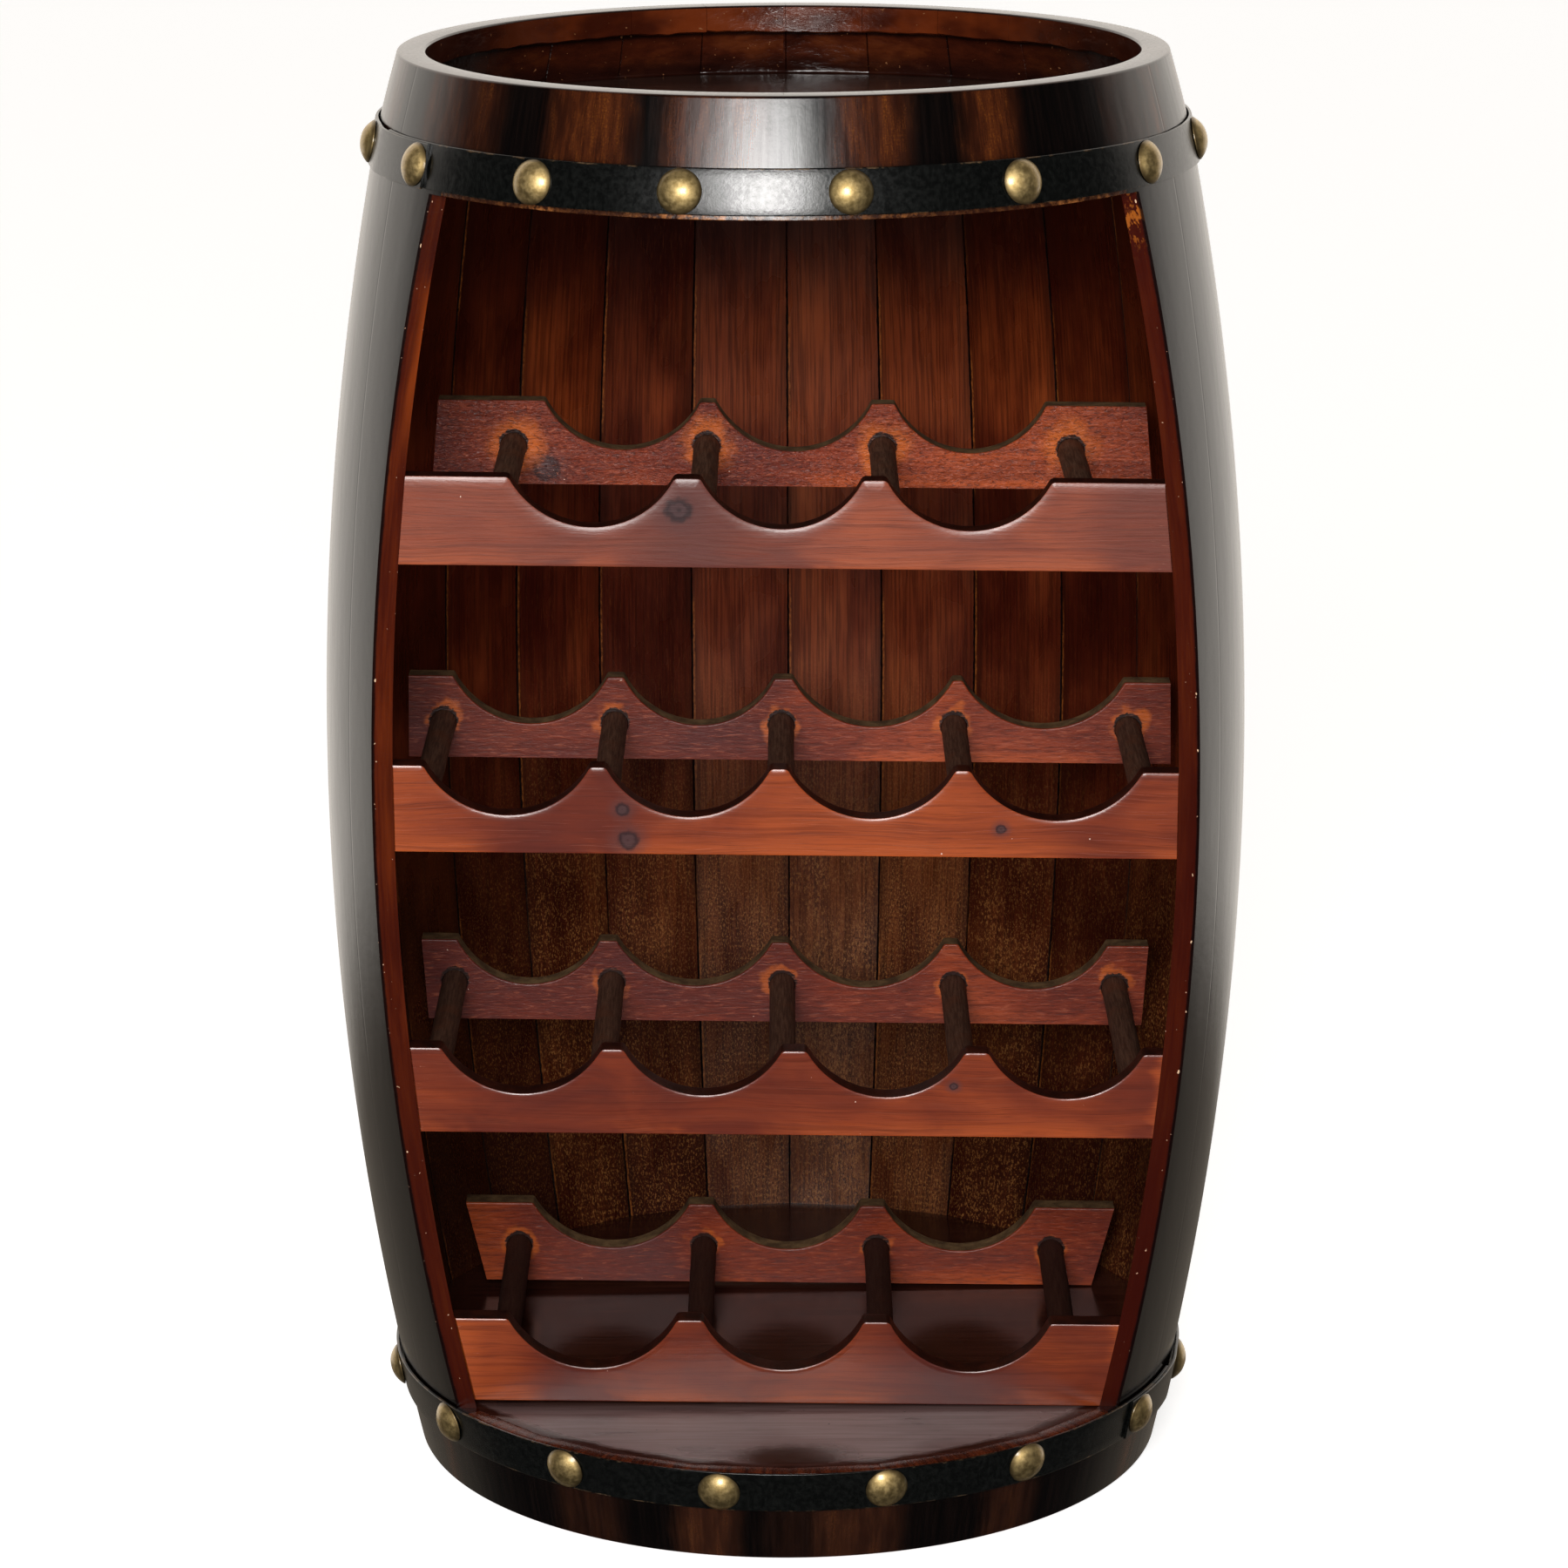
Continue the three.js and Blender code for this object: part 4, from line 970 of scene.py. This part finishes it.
# ---- round panels
def round_panel(name, z0, z1, material, node):
    joints = FRONT_JOINTS + RIGHT_JOINTS[1:] + REAR_JOINTS[1:] + LEFT_JOINTS[1:-1]
    pts = []
    n = len(joints)
    for i in range(n):
        a0 = joints[i]
        a1 = joints[i + 1] if i + 1 < n else joints[0] + 360
        mid = 0.5 * (a0 + a1)
        for t in np.linspace(0, 1, 6, endpoint=False):
            az = a0 + (a1 - a0) * t
            pts.append((az, 1.0 / math.cos(math.radians(az - mid))))
    az = np.array([p[0] for p in pts])
    k = np.array([p[1] for p in pts])
    r1 = float(inside(z1)) - 0.15
    r0 = float(inside(z0)) - 0.15
    rings = []
    rings.append(polar(az, k * r0, np.full_like(az, z0)))
    rings.append(polar(az, k * (r1 - 0.1), np.full_like(az, z1 - 0.7)))
    rings.append(polar(az, k * (r1 - 0.25), np.full_like(az, z1 - 0.2)))
    rings.append(polar(az, k * (r1 - 0.9), np.full_like(az, z1)))
    for f in (0.96, 0.85, 0.7, 0.5, 0.25):
        rings.append(polar(az, (k * (1 - (1 - f) * 0.3)) * 0 + (k * f + (1 - k) * 0) * (r1 - 0.9), np.full_like(az, z1)))
    m = len(az)
    co = np.concatenate(rings + [polar(np.array([0.0]), np.array([0.0]), np.array([z1]))])
    faces = []
    for i in range(len(rings) - 1):
        for j in range(m):
            q = (j + 1) % m
            faces.append((i * m + j, i * m + q, (i + 1) * m + q, (i + 1) * m + j))
    c = len(co) - 1
    last = (len(rings) - 1) * m
    for j in range(m):
        faces.append((last + j, last + (j + 1) % m, c))
    faces.append(tuple(range(m - 1, -1, -1)))
    o = make_object(name, co, faces, [material], None, None, (node,))
    shade(o)
    return o


round_panel("tray_board", 744.5, TRAY_TOP, "tray", "tray_panel")
round_panel("cabinet_floor_board", 37.5, FLOOR_TOP, "floor", "floor_panel")


# ---- hoops: one strap each, its outer end lapped over the inner end
def strap(name, z0, z1, lap_at, node, seed):
    sgn = 1.0 if lap_at > 0 else -1.0
    thick, gap = 1.6, 1.0
    total = 360.0 + 15.0
    steps = 380
    u = np.linspace(0, total, steps + 1)                    # from the outer end, all the way round, and under it
    az = lap_at + sgn * u
    lift = np.clip((24.0 - u) / 8.0, 0, 1)
    lift = lift * lift * (3 - 2 * lift) * (thick + 0.25)
    # section: rounded flat strap
    half = 0.5 * (z1 - z0)
    zc = 0.5 * (z0 + z1)
    sec = []
    for k in range(5):
        t = math.pi / 2 * k / 4
        sec.append((half - 0.5 + 0.5 * math.sin(t), thick - 0.5 + 0.5 * math.cos(t)))
    sec = [(-h, r) for h, r in reversed(sec)] + [(-half * 0.5, thick), (0.0, thick), (half * 0.5, thick)] + sec
    sec = sec + [(half, 0.1), (half - 0.1, 0.0), (-half + 0.1, 0.0), (-half, 0.1)]
    if sgn < 0:
        sec = sec[::-1]
    rings = []
    for i, (a, uu) in enumerate(zip(az, u)):
        q = np.array([[a * 0.11, 0.0, seed], [a * 0.045, 5.0, seed], [a * 0.35, 9.0, seed]])
        w = lattice_noise(q, 3)
        dz = 0.25 * w[1] + 0.10 * w[2]
        pts = []
        for h, r in sec:
            z = zc + h + dz
            extra = 0.35 * w[0] * (1 if h > 0 else -1) * 0.5 + 0.15
            rr = float(outside(z)) + gap + extra * 0.5 + lift[i] + r
            pts.append((a, rr, z))
        pts = np.array(pts)
        rings.append(polar(pts[:, 0], pts[:, 1], pts[:, 2]))
    co = np.concatenate(rings)
    faces = loft(rings)
    o = make_object(name, co, faces, ["hoop"], None, None, (node,))
    fix_normals(o)
    shade(o, angle=38)
    return o


def fix_normals(o):
    bm = bmesh.new()
    bm.from_mesh(o.data)
    bmesh.ops.recalc_face_normals(bm, faces=bm.faces)
    bm.to_mesh(o.data)
    bm.free()
    o.data.update()


strap("top_hoop_strap", 741.0, 764.5, -56.2, "top_hoop", 1.0)
strap("bottom_hoop_strap", 31.5, 55.0, 57.5, "bottom_hoop", 2.0)


# ---- nails
TOP_NAILS = [-82, -58.6, -35, -13.6, 8.7, 32.9, 58.4, 82, 106.5, 131, 155.5, 180, 204.5, 229, 253.5]
LOW_NAILS = [-82, -57.4, -32.9, -9.6, 13.7, 35.6, 60.6, 83, 107.5, 132, 156.5, 181, 205.5, 230, 254]


def nails(name, zc, at, lapped, node, seed):
    verts, faces, rads, seeds = [], [], [], []
    seg, rings_n = 48, 14
    r_ = np.random.default_rng(seed)
    for idx, a in enumerate(at):
        tilt = math.atan(float(-slope(zc)))
        seat = 1.0 + 1.6 + 0.35 + (1.85 if a in lapped else 0.0)
        R0, H = 11.7 * r_.uniform(0.985, 1.01), 6.0 * r_.uniform(0.93, 1.03)
        ang = math.radians(a)
        out = np.array([math.sin(ang) * math.cos(tilt), -math.cos(ang) * math.cos(tilt), math.sin(tilt)])
        out = out + np.array([math.cos(ang), math.sin(ang), 0]) * r_.uniform(-0.03, 0.03) + np.array([0, 0, 1.0]) * r_.uniform(-0.03, 0.03)
        out /= np.linalg.norm(out)
        side = np.cross(np.array([0, 0, 1.0]), out)
        side /= np.linalg.norm(side)
        up = np.cross(out, side)
        c = polar(np.array([a]), np.array([float(outside(zc)) + seat * math.cos(tilt)]), np.array([zc + r_.uniform(-0.3, 0.3)]))[0]
        base = len(verts)
        prof = []
        Rs = (R0 * R0 + H * H) / (2 * H)
        prof.append((R0 - 0.5, -0.30, 1.0))
        prof.append((R0, -0.05, 1.0))
        prof.append((R0 + 0.02, 0.35, 1.0))
        for k in range(1, rings_n):
            f = k / rings_n
            rr = R0 * math.cos(f * math.pi / 2)
            hh = math.sqrt(max(Rs * Rs - rr * rr, 0)) - (Rs - H)
            prof.append((rr, 0.40 + hh * 0.96, rr / R0))
        phase = r_.uniform(0, 50)
        for rr, hh, rd in prof:
            for j in range(seg):
                t = 2 * math.pi * j / seg
                dent = lattice_noise(np.array([[math.cos(t) * rr * 0.16 + phase, math.sin(t) * rr * 0.16, 0.5]]), 11)[0] * 0.16 * (1 - rd ** 4)
                p = c + side * (rr * math.cos(t)) + up * (rr * math.sin(t)) + out * (hh + dent)
                verts.append(p)
                rads.append(rd)
                seeds.append(idx / 15.0)
        m = len(prof)
        tip = len(verts)
        verts.append(c + out * (0.40 + H * 0.96))
        rads.append(0.0)
        seeds.append(idx / 15.0)
        for i in range(m - 1):
            for j in range(seg):
                k = (j + 1) % seg
                faces.append((base + i * seg + j, base + i * seg + k, base + (i + 1) * seg + k, base + (i + 1) * seg + j))
        for j in range(seg):
            faces.append((base + (m - 1) * seg + j, base + (m - 1) * seg + (j + 1) % seg, tip))
        faces.append(tuple(base + j for j in range(seg - 1, -1, -1)))
    o = make_object(name, np.array(verts), faces, ["nail"], None, {"rad": np.array(rads), "seed": np.array(seeds)}, (node,))
    shade(o, angle=50)
    return o


nails("top_hoop_dome_nails", 752.9, TOP_NAILS, (-58.6,), "top_hoop_nails", 21)
nails("bottom_hoop_dome_nails", 43.4, LOW_NAILS, (60.6,), "bottom_hoop_nails", 22)


# ---- racks
BOARD_H, BOARD_T, SLOPE = 48.5, 15.0, 0.014
REAR_Y = 65.0
RACKS = [
    dict(name="row1", front=584.0, fd=27.0, fc=[(-148, -59.1), (-45.1, 41.9), (54.5, 143)], rear=589.0, rd=28.0,
         rc=[(-136.8, -48), (-39.5, 49.8), (62.8, 149.2)], ends=(-197.4, -201.8, 210.5, 206.3), drop=26.3, dowels=[-155, -44.6, 55.8, 163.4],
         warm=[(-215, .66), (-165, .50), (-110, .42), (-50, .15), (-10, .38), (45, .65), (95, .58), (150, .62), (185, .36), (215, .30)],
         rwarm=[(-205, .15), (-150, .45), (-90, .35), (-20, .25), (40, .55), (110, .65), (165, .70), (210, .45)],
         pink_stain_and_sheen=0.20, rough=(0.25, 0.33), soft=(8.0, 1.1), peel=0.075, halo=(20.0, 0.72), knots=[(-57.0, 567.5, 8.2)], rear_knots=[(-136.5, 551.5, 8.5)], scuffs=[(208.0, 15.0)]),
    dict(name="row2", front=424.0, fd=27.4, fc=[(-196.8, -106.3), (-97.8, -8.1), (0.9, 92.1), (100.1, 193.7)], rear=427.0, rd=28.0,
         rc=[(-192.1, -103.1), (-93.5, -6.4), (4.2, 96.8), (102.4, 196.1)], ends=(-217.8, -218.6, 223.4, 222.6), drop=27.8,
         dowels=[-198.2, -98.9, -2.5, 97.5, 198.2],
         warm=[(-225, .78), (-180, .58), (-140, .22), (-100, .32), (-60, .52), (0, .76), (60, .80), (120, .68), (170, .46), (225, .48)],
         rwarm=[(-220, .10), (-160, .30), (-100, .25), (-40, .20), (30, .40), (100, .55), (170, .40), (225, .30)],
         pink_stain_and_sheen=0.03, rough=(0.20, 0.28), soft=(5.0, 0.85), peel=0.032, halo=(12.5, 0.56), knots=[(-89.0, 402.0, 4.4), (-86.0, 384.5, 6.2), (117.0, 390.0, 3.2)], rear_knots=[], scuffs=[]),
    dict(name="row3", front=263.5, fd=26.0, fc=[(-190.3, -101.9), (-90, -2.5), (10.9, 98.2), (111.1, 196.5)], rear=268.0, rd=27.0,
         rc=[(-192.8, -109.6), (-99.4, -8.5), (1.2, 92.5), (100.7, 188)], ends=(-213.7, -210.4, 208.6, 212.2), drop=26.2,
         dowels=[-194.8, -102.7, -2.5, 97.8, 192.4],
         warm=[(-215, .44), (-170, .38), (-130, .28), (-90, .34), (-30, .36), (30, .44), (90, .53), (150, .54), (180, .42), (199, .34), (206, .78), (215, .88)],
         rwarm=[(-215, .08), (-150, .20), (-90, .15), (-20, .20), (50, .35), (110, .55), (160, .35), (215, .35)],
         pink_stain_and_sheen=0.02, rough=(0.19, 0.27), soft=(3.4, 0.70), peel=0.026, halo=(11.0, 0.45), knots=[(92.0, 243.0, 2.6)], rear_knots=[], scuffs=[(-208.0, 14.0)]),
    dict(name="row4", front=105.2, fd=28.8, fc=[(-156.1, -61.8), (-47.3, 42.4), (56.8, 146.7)], rear=105.2, rd=27.6,
         rc=[(-150.9, -58.3), (-43.8, 43.6), (57.6, 147.1)], ends=(-190.8, -179.2, 181.1, 194.2), drop=27.4, dowels=[-159.6, -49.7, 52.9, 156.7],
         warm=[(-190, .98), (-165, .70), (-120, .24), (-70, .45), (-20, .42), (30, .52), (90, .16), (140, .48), (175, .46), (190, .98)],
         rwarm=[(-190, .80), (-150, .36), (-90, .12), (-20, .40), (50, .40), (110, .45), (150, .45), (194, .30)],
         pink_stain_and_sheen=0.02, rough=(0.19, 0.26), soft=(3.0, 0.65), peel=0.026, halo=(11.0, 0.45), knots=[], rear_knots=[], scuffs=[(-182.0, 12.0)]),
]


def board_outline(ends, cuts, depth, d=0.0, low=0.25):
    """Corner points of a board (x, up from its top edge) counter-clockwise, rubbed in by d; True marks tooth corners."""
    tl, bl, br, tr = ends
    k = d / BOARD_H
    kb = 1.0 - d * low / BOARD_H
    pts = [(tl + (bl - tl) * kb, -BOARD_H * kb), (tr + (br - tr) * kb, -BOARD_H * kb), (tr + (br - tr) * k, -d)]
    corner = [False] * 3
    for x0, x1 in reversed(cuts):
        half = 0.5 * (x1 - x0)
        r = (half * half + depth * depth) / (2 * depth)
        cx, cz = 0.5 * (x0 + x1), r - depth
        lim = math.acos((cz + d) / (r + d))
        arc = [(cx + (r + d) * math.sin(t), cz - (r + d) * math.cos(t)) for t in np.linspace(lim, -lim, 46)]
        pts += arc
        corner += [True] + [False] * (len(arc) - 2) + [True]
    pts.append((tl + (bl - tl) * k, -d))
    corner.append(False)
    return np.array(pts), corner


def build_board(name, ends, cuts, depth, top, y_front, mats, node, soft, corner, back_spread=0.0, pegs=()):
    """Extrudes a board 15 mm deep. soft is how far in and how deep the front edge is rubbed round."""
    pts, is_corner = board_outline(ends, cuts, depth)
    n = len(pts)
    left = np.zeros(n, bool)
    right = np.zeros(n, bool)
    left[[0, n - 1]] = True
    right[[1, 2]] = True
    kind = []                                              # of each point of a ring: left, right or top
    for i in range(n):
        k = "l" if left[i] else "r" if right[i] else "t"
        kind += [k] * (5 if is_corner[i] else 1)
    sa, sb = soft
    steps = [math.radians(t) for t in (0, 9, 18, 27, 38, 50, 64, 78, 90)]
    levels = [(sb * (1 - math.cos(t)), sa * (1 - math.sin(t))) for t in steps]
    back = [(1.0 * (1 - math.cos(t)), 1.0 * (1 - math.sin(t))) for t in map(math.radians, (0, 30, 60, 90))]
    ys = [(d, i) for d, i in levels] + [(BOARD_T / 2, 0.0)] + [(BOARD_T - d, i) for d, i in reversed(back)]
    verts = []
    for dy, inset in ys:
        q, _ = board_outline(ends, cuts, depth, inset)
        out = []
        for i in range(n):
            if not is_corner[i]:
                out.append(q[i])
                continue
            pr, nx = q[i - 1], q[(i + 1) % n]
            c = max(corner - 0.5 * inset, 0.05)
            ca = q[i] + (pr - q[i]) / np.linalg.norm(pr - q[i]) * min(c, 0.85 * np.linalg.norm(pr - q[i]))
            cb = q[i] + (nx - q[i]) / np.linalg.norm(nx - q[i]) * min(c, 0.85 * np.linalg.norm(nx - q[i]))
            for t in np.linspace(0, 1, 5):
                out.append((1 - t) ** 2 * ca + 2 * t * (1 - t) * q[i] + t * t * cb)
        q = np.array(out)
        f = dy / BOARD_T
        base_l = [0, len(q) - 1]
        base_r = [1, 2]
        if back_spread:
            for j, src in zip(base_l + base_r, (0, n - 1, 1, 2)):
                q[j, 0] = q[j, 0] + (-1 if j in base_l else 1) * back_spread * f
        ring = np.zeros((len(q), 3))
        ring[:, 0] = q[:, 0]
        ring[:, 1] = y_front + dy
        ring[:, 2] = top + q[:, 1] - SLOPE * q[:, 0]
        verts.append(ring)
    m, nr = len(ys), len(verts[0])
    co = np.concatenate(verts)
    faces, fm = [], []
    for i in range(m - 1):
        rubbed = i < len(levels) - 1 or i > m - len(back)
        for j in range(nr):
            k = (j + 1) % nr
            faces.append((i * nr + j, i * nr + k, (i + 1) * nr + k, (i + 1) * nr + j))
            side = j == 0 or (kind[j] == "r" and kind[k] == "r") or (kind[j] == "l" and kind[k] == "l")
            fm.append(0 if side or rubbed else 1)
    faces.append(tuple(range(nr - 1, -1, -1)))
    fm.append(0)
    faces.append(tuple((m - 1) * nr + j for j in range(nr)))
    fm.append(0)
    o = make_object(name, co, faces, mats, fm, None, (node,))
    bm = bmesh.new()
    bm.from_mesh(o.data)
    bmesh.ops.remove_doubles(bm, verts=bm.verts, dist=0.00003)
    bmesh.ops.recalc_face_normals(bm, faces=bm.faces)
    bm.to_mesh(o.data)
    bm.free()
    if pegs:
        bore(o, pegs)
    shade(o, angle=30)
    wn = o.modifiers.new("even", "WEIGHTED_NORMAL")
    wn.keep_sharp, wn.weight, wn.mode = True, 80, "FACE_AREA"
    apply_modifiers(o)
    return o


def bore(o, pegs):
    """Blind sockets for the dowels: pegs are (x, z, y0, y1) of each bore."""
    verts, faces = [], []
    seg = 28
    for x, z, y0, y1 in pegs:
        b = len(verts)
        for y in (y0, y1):
            for j in range(seg):
                t = 2 * math.pi * j / seg
                verts.append((x + 7.75 * math.cos(t), y, z + 7.75 * math.sin(t)))
        faces.append(tuple(b + j for j in range(seg)))
        faces.append(tuple(b + seg + j for j in range(seg - 1, -1, -1)))
        for j in range(seg):
            k = (j + 1) % seg
            faces.append((b + j, b + seg + j, b + seg + k, b + k))
    me = bpy.data.meshes.new("drill")
    me.from_pydata(to_metres(verts).tolist(), [], faces)
    for s in o.data.materials:
        me.materials.append(s)
    tool = bpy.data.objects.new("drill", me)
    bpy.context.scene.collection.objects.link(tool)
    fix_normals(tool)
    mod = o.modifiers.new("bores", "BOOLEAN")
    mod.operation, mod.solver, mod.object = "DIFFERENCE", "EXACT", tool
    mod.material_mode = "INDEX"
    apply_modifiers(o)
    bpy.data.objects.remove(tool)
    bpy.data.meshes.remove(me)


def dowel(name, x, z, y0, y1, node, seed):
    seg, rings_n = 26, 34
    r_ = np.random.default_rng(seed)
    rings = []
    bend = r_.uniform(-0.25, 0.25, 2)
    for i in range(rings_n + 1):
        f = i / rings_n
        y = y0 + (y1 - y0) * f
        rr = 7.45
        if f < 1e-6 or f > 1 - 1e-6:
            rr = 6.9
        t = np.linspace(0, 2 * math.pi, seg, endpoint=False)
        w = lattice_noise(np.stack([np.cos(t) * 2.2 + seed, np.full(seg, y * 0.05), np.sin(t) * 2.2], -1), 17)
        w2 = lattice_noise(np.stack([np.cos(t) * 5.0 + seed, np.full(seg, y * 0.02), np.sin(t) * 5.0], -1), 18)
        r = rr + 0.12 * w + 0.07 * w2
        sag = math.sin(f * math.pi)
        ring = np.stack([x + bend[0] * sag + r * np.cos(t), np.full(seg, y), z + bend[1] * sag + r * np.sin(t)], -1)
        rings.append(ring)
    o = make_object(name, np.concatenate(rings), loft(rings), ["dowel"], None, None, (node,))
    fix_normals(o)
    shade(o, angle=50)
    return o


def wall_x(z, y):
    """Where the flat inside of the stave beside the opening meets a line across the front at depth y (axis frame, negative)."""
    d = float(inside(z))
    m = math.radians(0.5 * (RIGHT_JOINTS[0] + RIGHT_JOINTS[1]))
    return (d + math.cos(m) * y) / math.sin(m)


for r_i, k in enumerate(RACKS):
    zt, zb = k["front"], k["front"] - BOARD_H
    xt, xb = wall_x(zt, -FRONT), wall_x(zb, -FRONT)
    spread = wall_x(zt, -FRONT + BOARD_T) - xt
    t = 0.15
    ends = (-(xt - t), -(xb - t), xb - t, xt - t)
    fmat = board_material(f"{k['name']}_front_stain", k["warm"], k["knots"], pink_stain_and_sheen=k["pink_stain_and_sheen"], top=zt, rough_at=k["rough"], scuffs=k["scuffs"], peel=k["peel"])
    pegs = [(x, k["rear"] - k["drop"] - SLOPE * x) for x in k["dowels"]]
    rmat = board_material(f"{k['name']}_rear_stain", k["rwarm"], k["rear_knots"], pegs=pegs, leather=1.0 if k["name"] == "row1" else 0.66, top=k["rear"], rough_at=(0.27, 0.36) if k["name"] == "row1" else (0.34, 0.44), halo=k["halo"])
    seat_f = -FRONT + BOARD_T - 9.0
    seat_r = REAR_Y + 9.0
    build_board(f"{k['name']}_front_rack", ends, k["fc"], k["fd"], k["front"], -FRONT, [fmat, M["dark_edge"]],
                f"{k['name']}_front_board", k["soft"], 2.0, spread, [(x, z, seat_f, -FRONT + BOARD_T + 5) for x, z in pegs])
    build_board(f"{k['name']}_rear_rack", k["ends"], k["rc"], k["rd"], k["rear"], REAR_Y, [rmat, M["dull_edge"]],
                f"{k['name']}_rear_board", (1.1, 0.9), 1.2, 0.0, [(x, z, REAR_Y - 5, seat_r) for x, z in pegs])
    for i, (x, z) in enumerate(pegs, 1):
        dowel(f"{k['name']}_peg_{i}", x, z, seat_f + 0.2, seat_r - 0.2, f"{k['name']}_dowel_{i}", 100 + 10 * r_i + i)

# ------------------------------------------------------------------ camera
cam_data = bpy.data.cameras.new("photo_camera")
cam_data.sensor_width = 36.0
cam_data.sensor_fit = "HORIZONTAL"
cam_data.lens = 5987.965 * 36.0 / 1800.0
cam_data.clip_start, cam_data.clip_end = 0.1, 100.0
cam = bpy.data.objects.new("photo_camera", cam_data)
bpy.context.scene.collection.objects.link(cam)
pitch, yaw, roll = 0.26065, -0.00037, -0.0035
fwd = Vector((math.sin(yaw) * math.cos(pitch), math.cos(yaw) * math.cos(pitch), -math.sin(pitch)))
right = fwd.cross(Vector((0, 0, 1))).normalized()
up = right.cross(fwd)
r2 = math.cos(roll) * right + math.sin(roll) * up
u2 = -math.sin(roll) * right + math.cos(roll) * up
rot = Matrix((r2, u2, -fwd)).transposed()
cam.matrix_world = Matrix.Translation(Vector((0.0, (-2863.93 + AXIS_Y) / 1000.0, 1.14556))) @ rot.to_4x4()
bpy.context.scene.camera = cam

# ------------------------------------------------------------------ studio
def area(name, loc, target, w, h, power, color=(1, 1, 1)):
    d = bpy.data.lights.new(name, "AREA")
    d.shape, d.size, d.size_y, d.energy, d.color = "RECTANGLE", w, h, power, color
    o = bpy.data.objects.new(name, d)
    bpy.context.scene.collection.objects.link(o)
    v = Vector(target) - Vector(loc)
    o.rotation_mode = "QUATERNION"
    o.rotation_quaternion = v.to_track_quat("-Z", "Y")
    o.location = loc
    return o


area("key_softbox", (-0.26, -3.14, 1.62), (0.0, 0.0, 0.60), 0.96, 1.10, 56.0, (1.0, 0.985, 0.965))
area("key_spread", (-0.42, -3.18, 1.62), (0.0, 0.0, 0.60), 1.80, 1.20, 46.0, (1.0, 0.985, 0.965))

floor_me = bpy.data.meshes.new("studio_floor")
floor_me.from_pydata([(-30, -30, 0), (30, -30, 0), (30, 30, 0), (-30, 30, 0)], [], [(0, 1, 2, 3)])
floor = bpy.data.objects.new("studio_floor", floor_me)
bpy.context.scene.collection.objects.link(floor)
floor.location = (0, 0, -0.0004)
fg = Graph("studio_floor_paint")
fg.finish((0.90, 0.90, 0.90), 0.85)
fg.bsdf.inputs["Emission Color"].default_value = (1, 1, 1, 1)
fg.bsdf.inputs["Emission Strength"].default_value = 0.68
floor_me.materials.append(fg.mat)
floor.visible_glossy = False

world = bpy.data.worlds.new("studio")
bpy.context.scene.world = world
world.use_nodes = True
nt = world.node_tree
nt.nodes.clear()
wo = nt.nodes.new("ShaderNodeOutputWorld")
bg = nt.nodes.new("ShaderNodeBackground")
tc = nt.nodes.new("ShaderNodeTexCoord")
sep = nt.nodes.new("ShaderNodeSeparateXYZ")
nt.links.new(tc.outputs["Generated"], sep.inputs[0])


def world_step(sock, lo, hi):
    n = nt.nodes.new("ShaderNodeMapRange")
    n.interpolation_type = "SMOOTHSTEP"
    nt.links.new(sock, n.inputs[0])
    n.inputs[1].default_value, n.inputs[2].default_value = lo, hi
    return n.outputs[0]


back = world_step(sep.outputs[1], 0.20, 0.62)
high = world_step(sep.outputs[2], -0.350, -0.275)
rise = nt.nodes.new("ShaderNodeMix")
rise.data_type = "RGBA"
nt.links.new(high, rise.inputs[0])
rise.inputs[6].default_value = (0.185, 0.158, 0.128, 1)
rise.inputs[7].default_value = (1.14, 1.06, 0.965, 1)
mix = nt.nodes.new("ShaderNodeMix")
mix.data_type = "RGBA"
nt.links.new(back, mix.inputs[0])
mix.inputs[6].default_value = (0.022, 0.022, 0.023, 1)
nt.links.new(rise.outputs[2], mix.inputs[7])
lp = nt.nodes.new("ShaderNodeLightPath")
mix2 = nt.nodes.new("ShaderNodeMix")
mix2.data_type = "RGBA"
nt.links.new(lp.outputs["Is Camera Ray"], mix2.inputs[0])
nt.links.new(mix.outputs[2], mix2.inputs[6])
mix2.inputs[7].default_value = (1.0, 1.0, 1.0, 1)
nt.links.new(mix2.outputs[2], bg.inputs[0])
nt.links.new(bg.outputs[0], wo.inputs[0])

scene = bpy.context.scene
scene.view_settings.view_transform = "Standard"
scene.view_settings.look = "None"
scene.view_settings.exposure = 0.0
scene.view_settings.gamma = 1.0
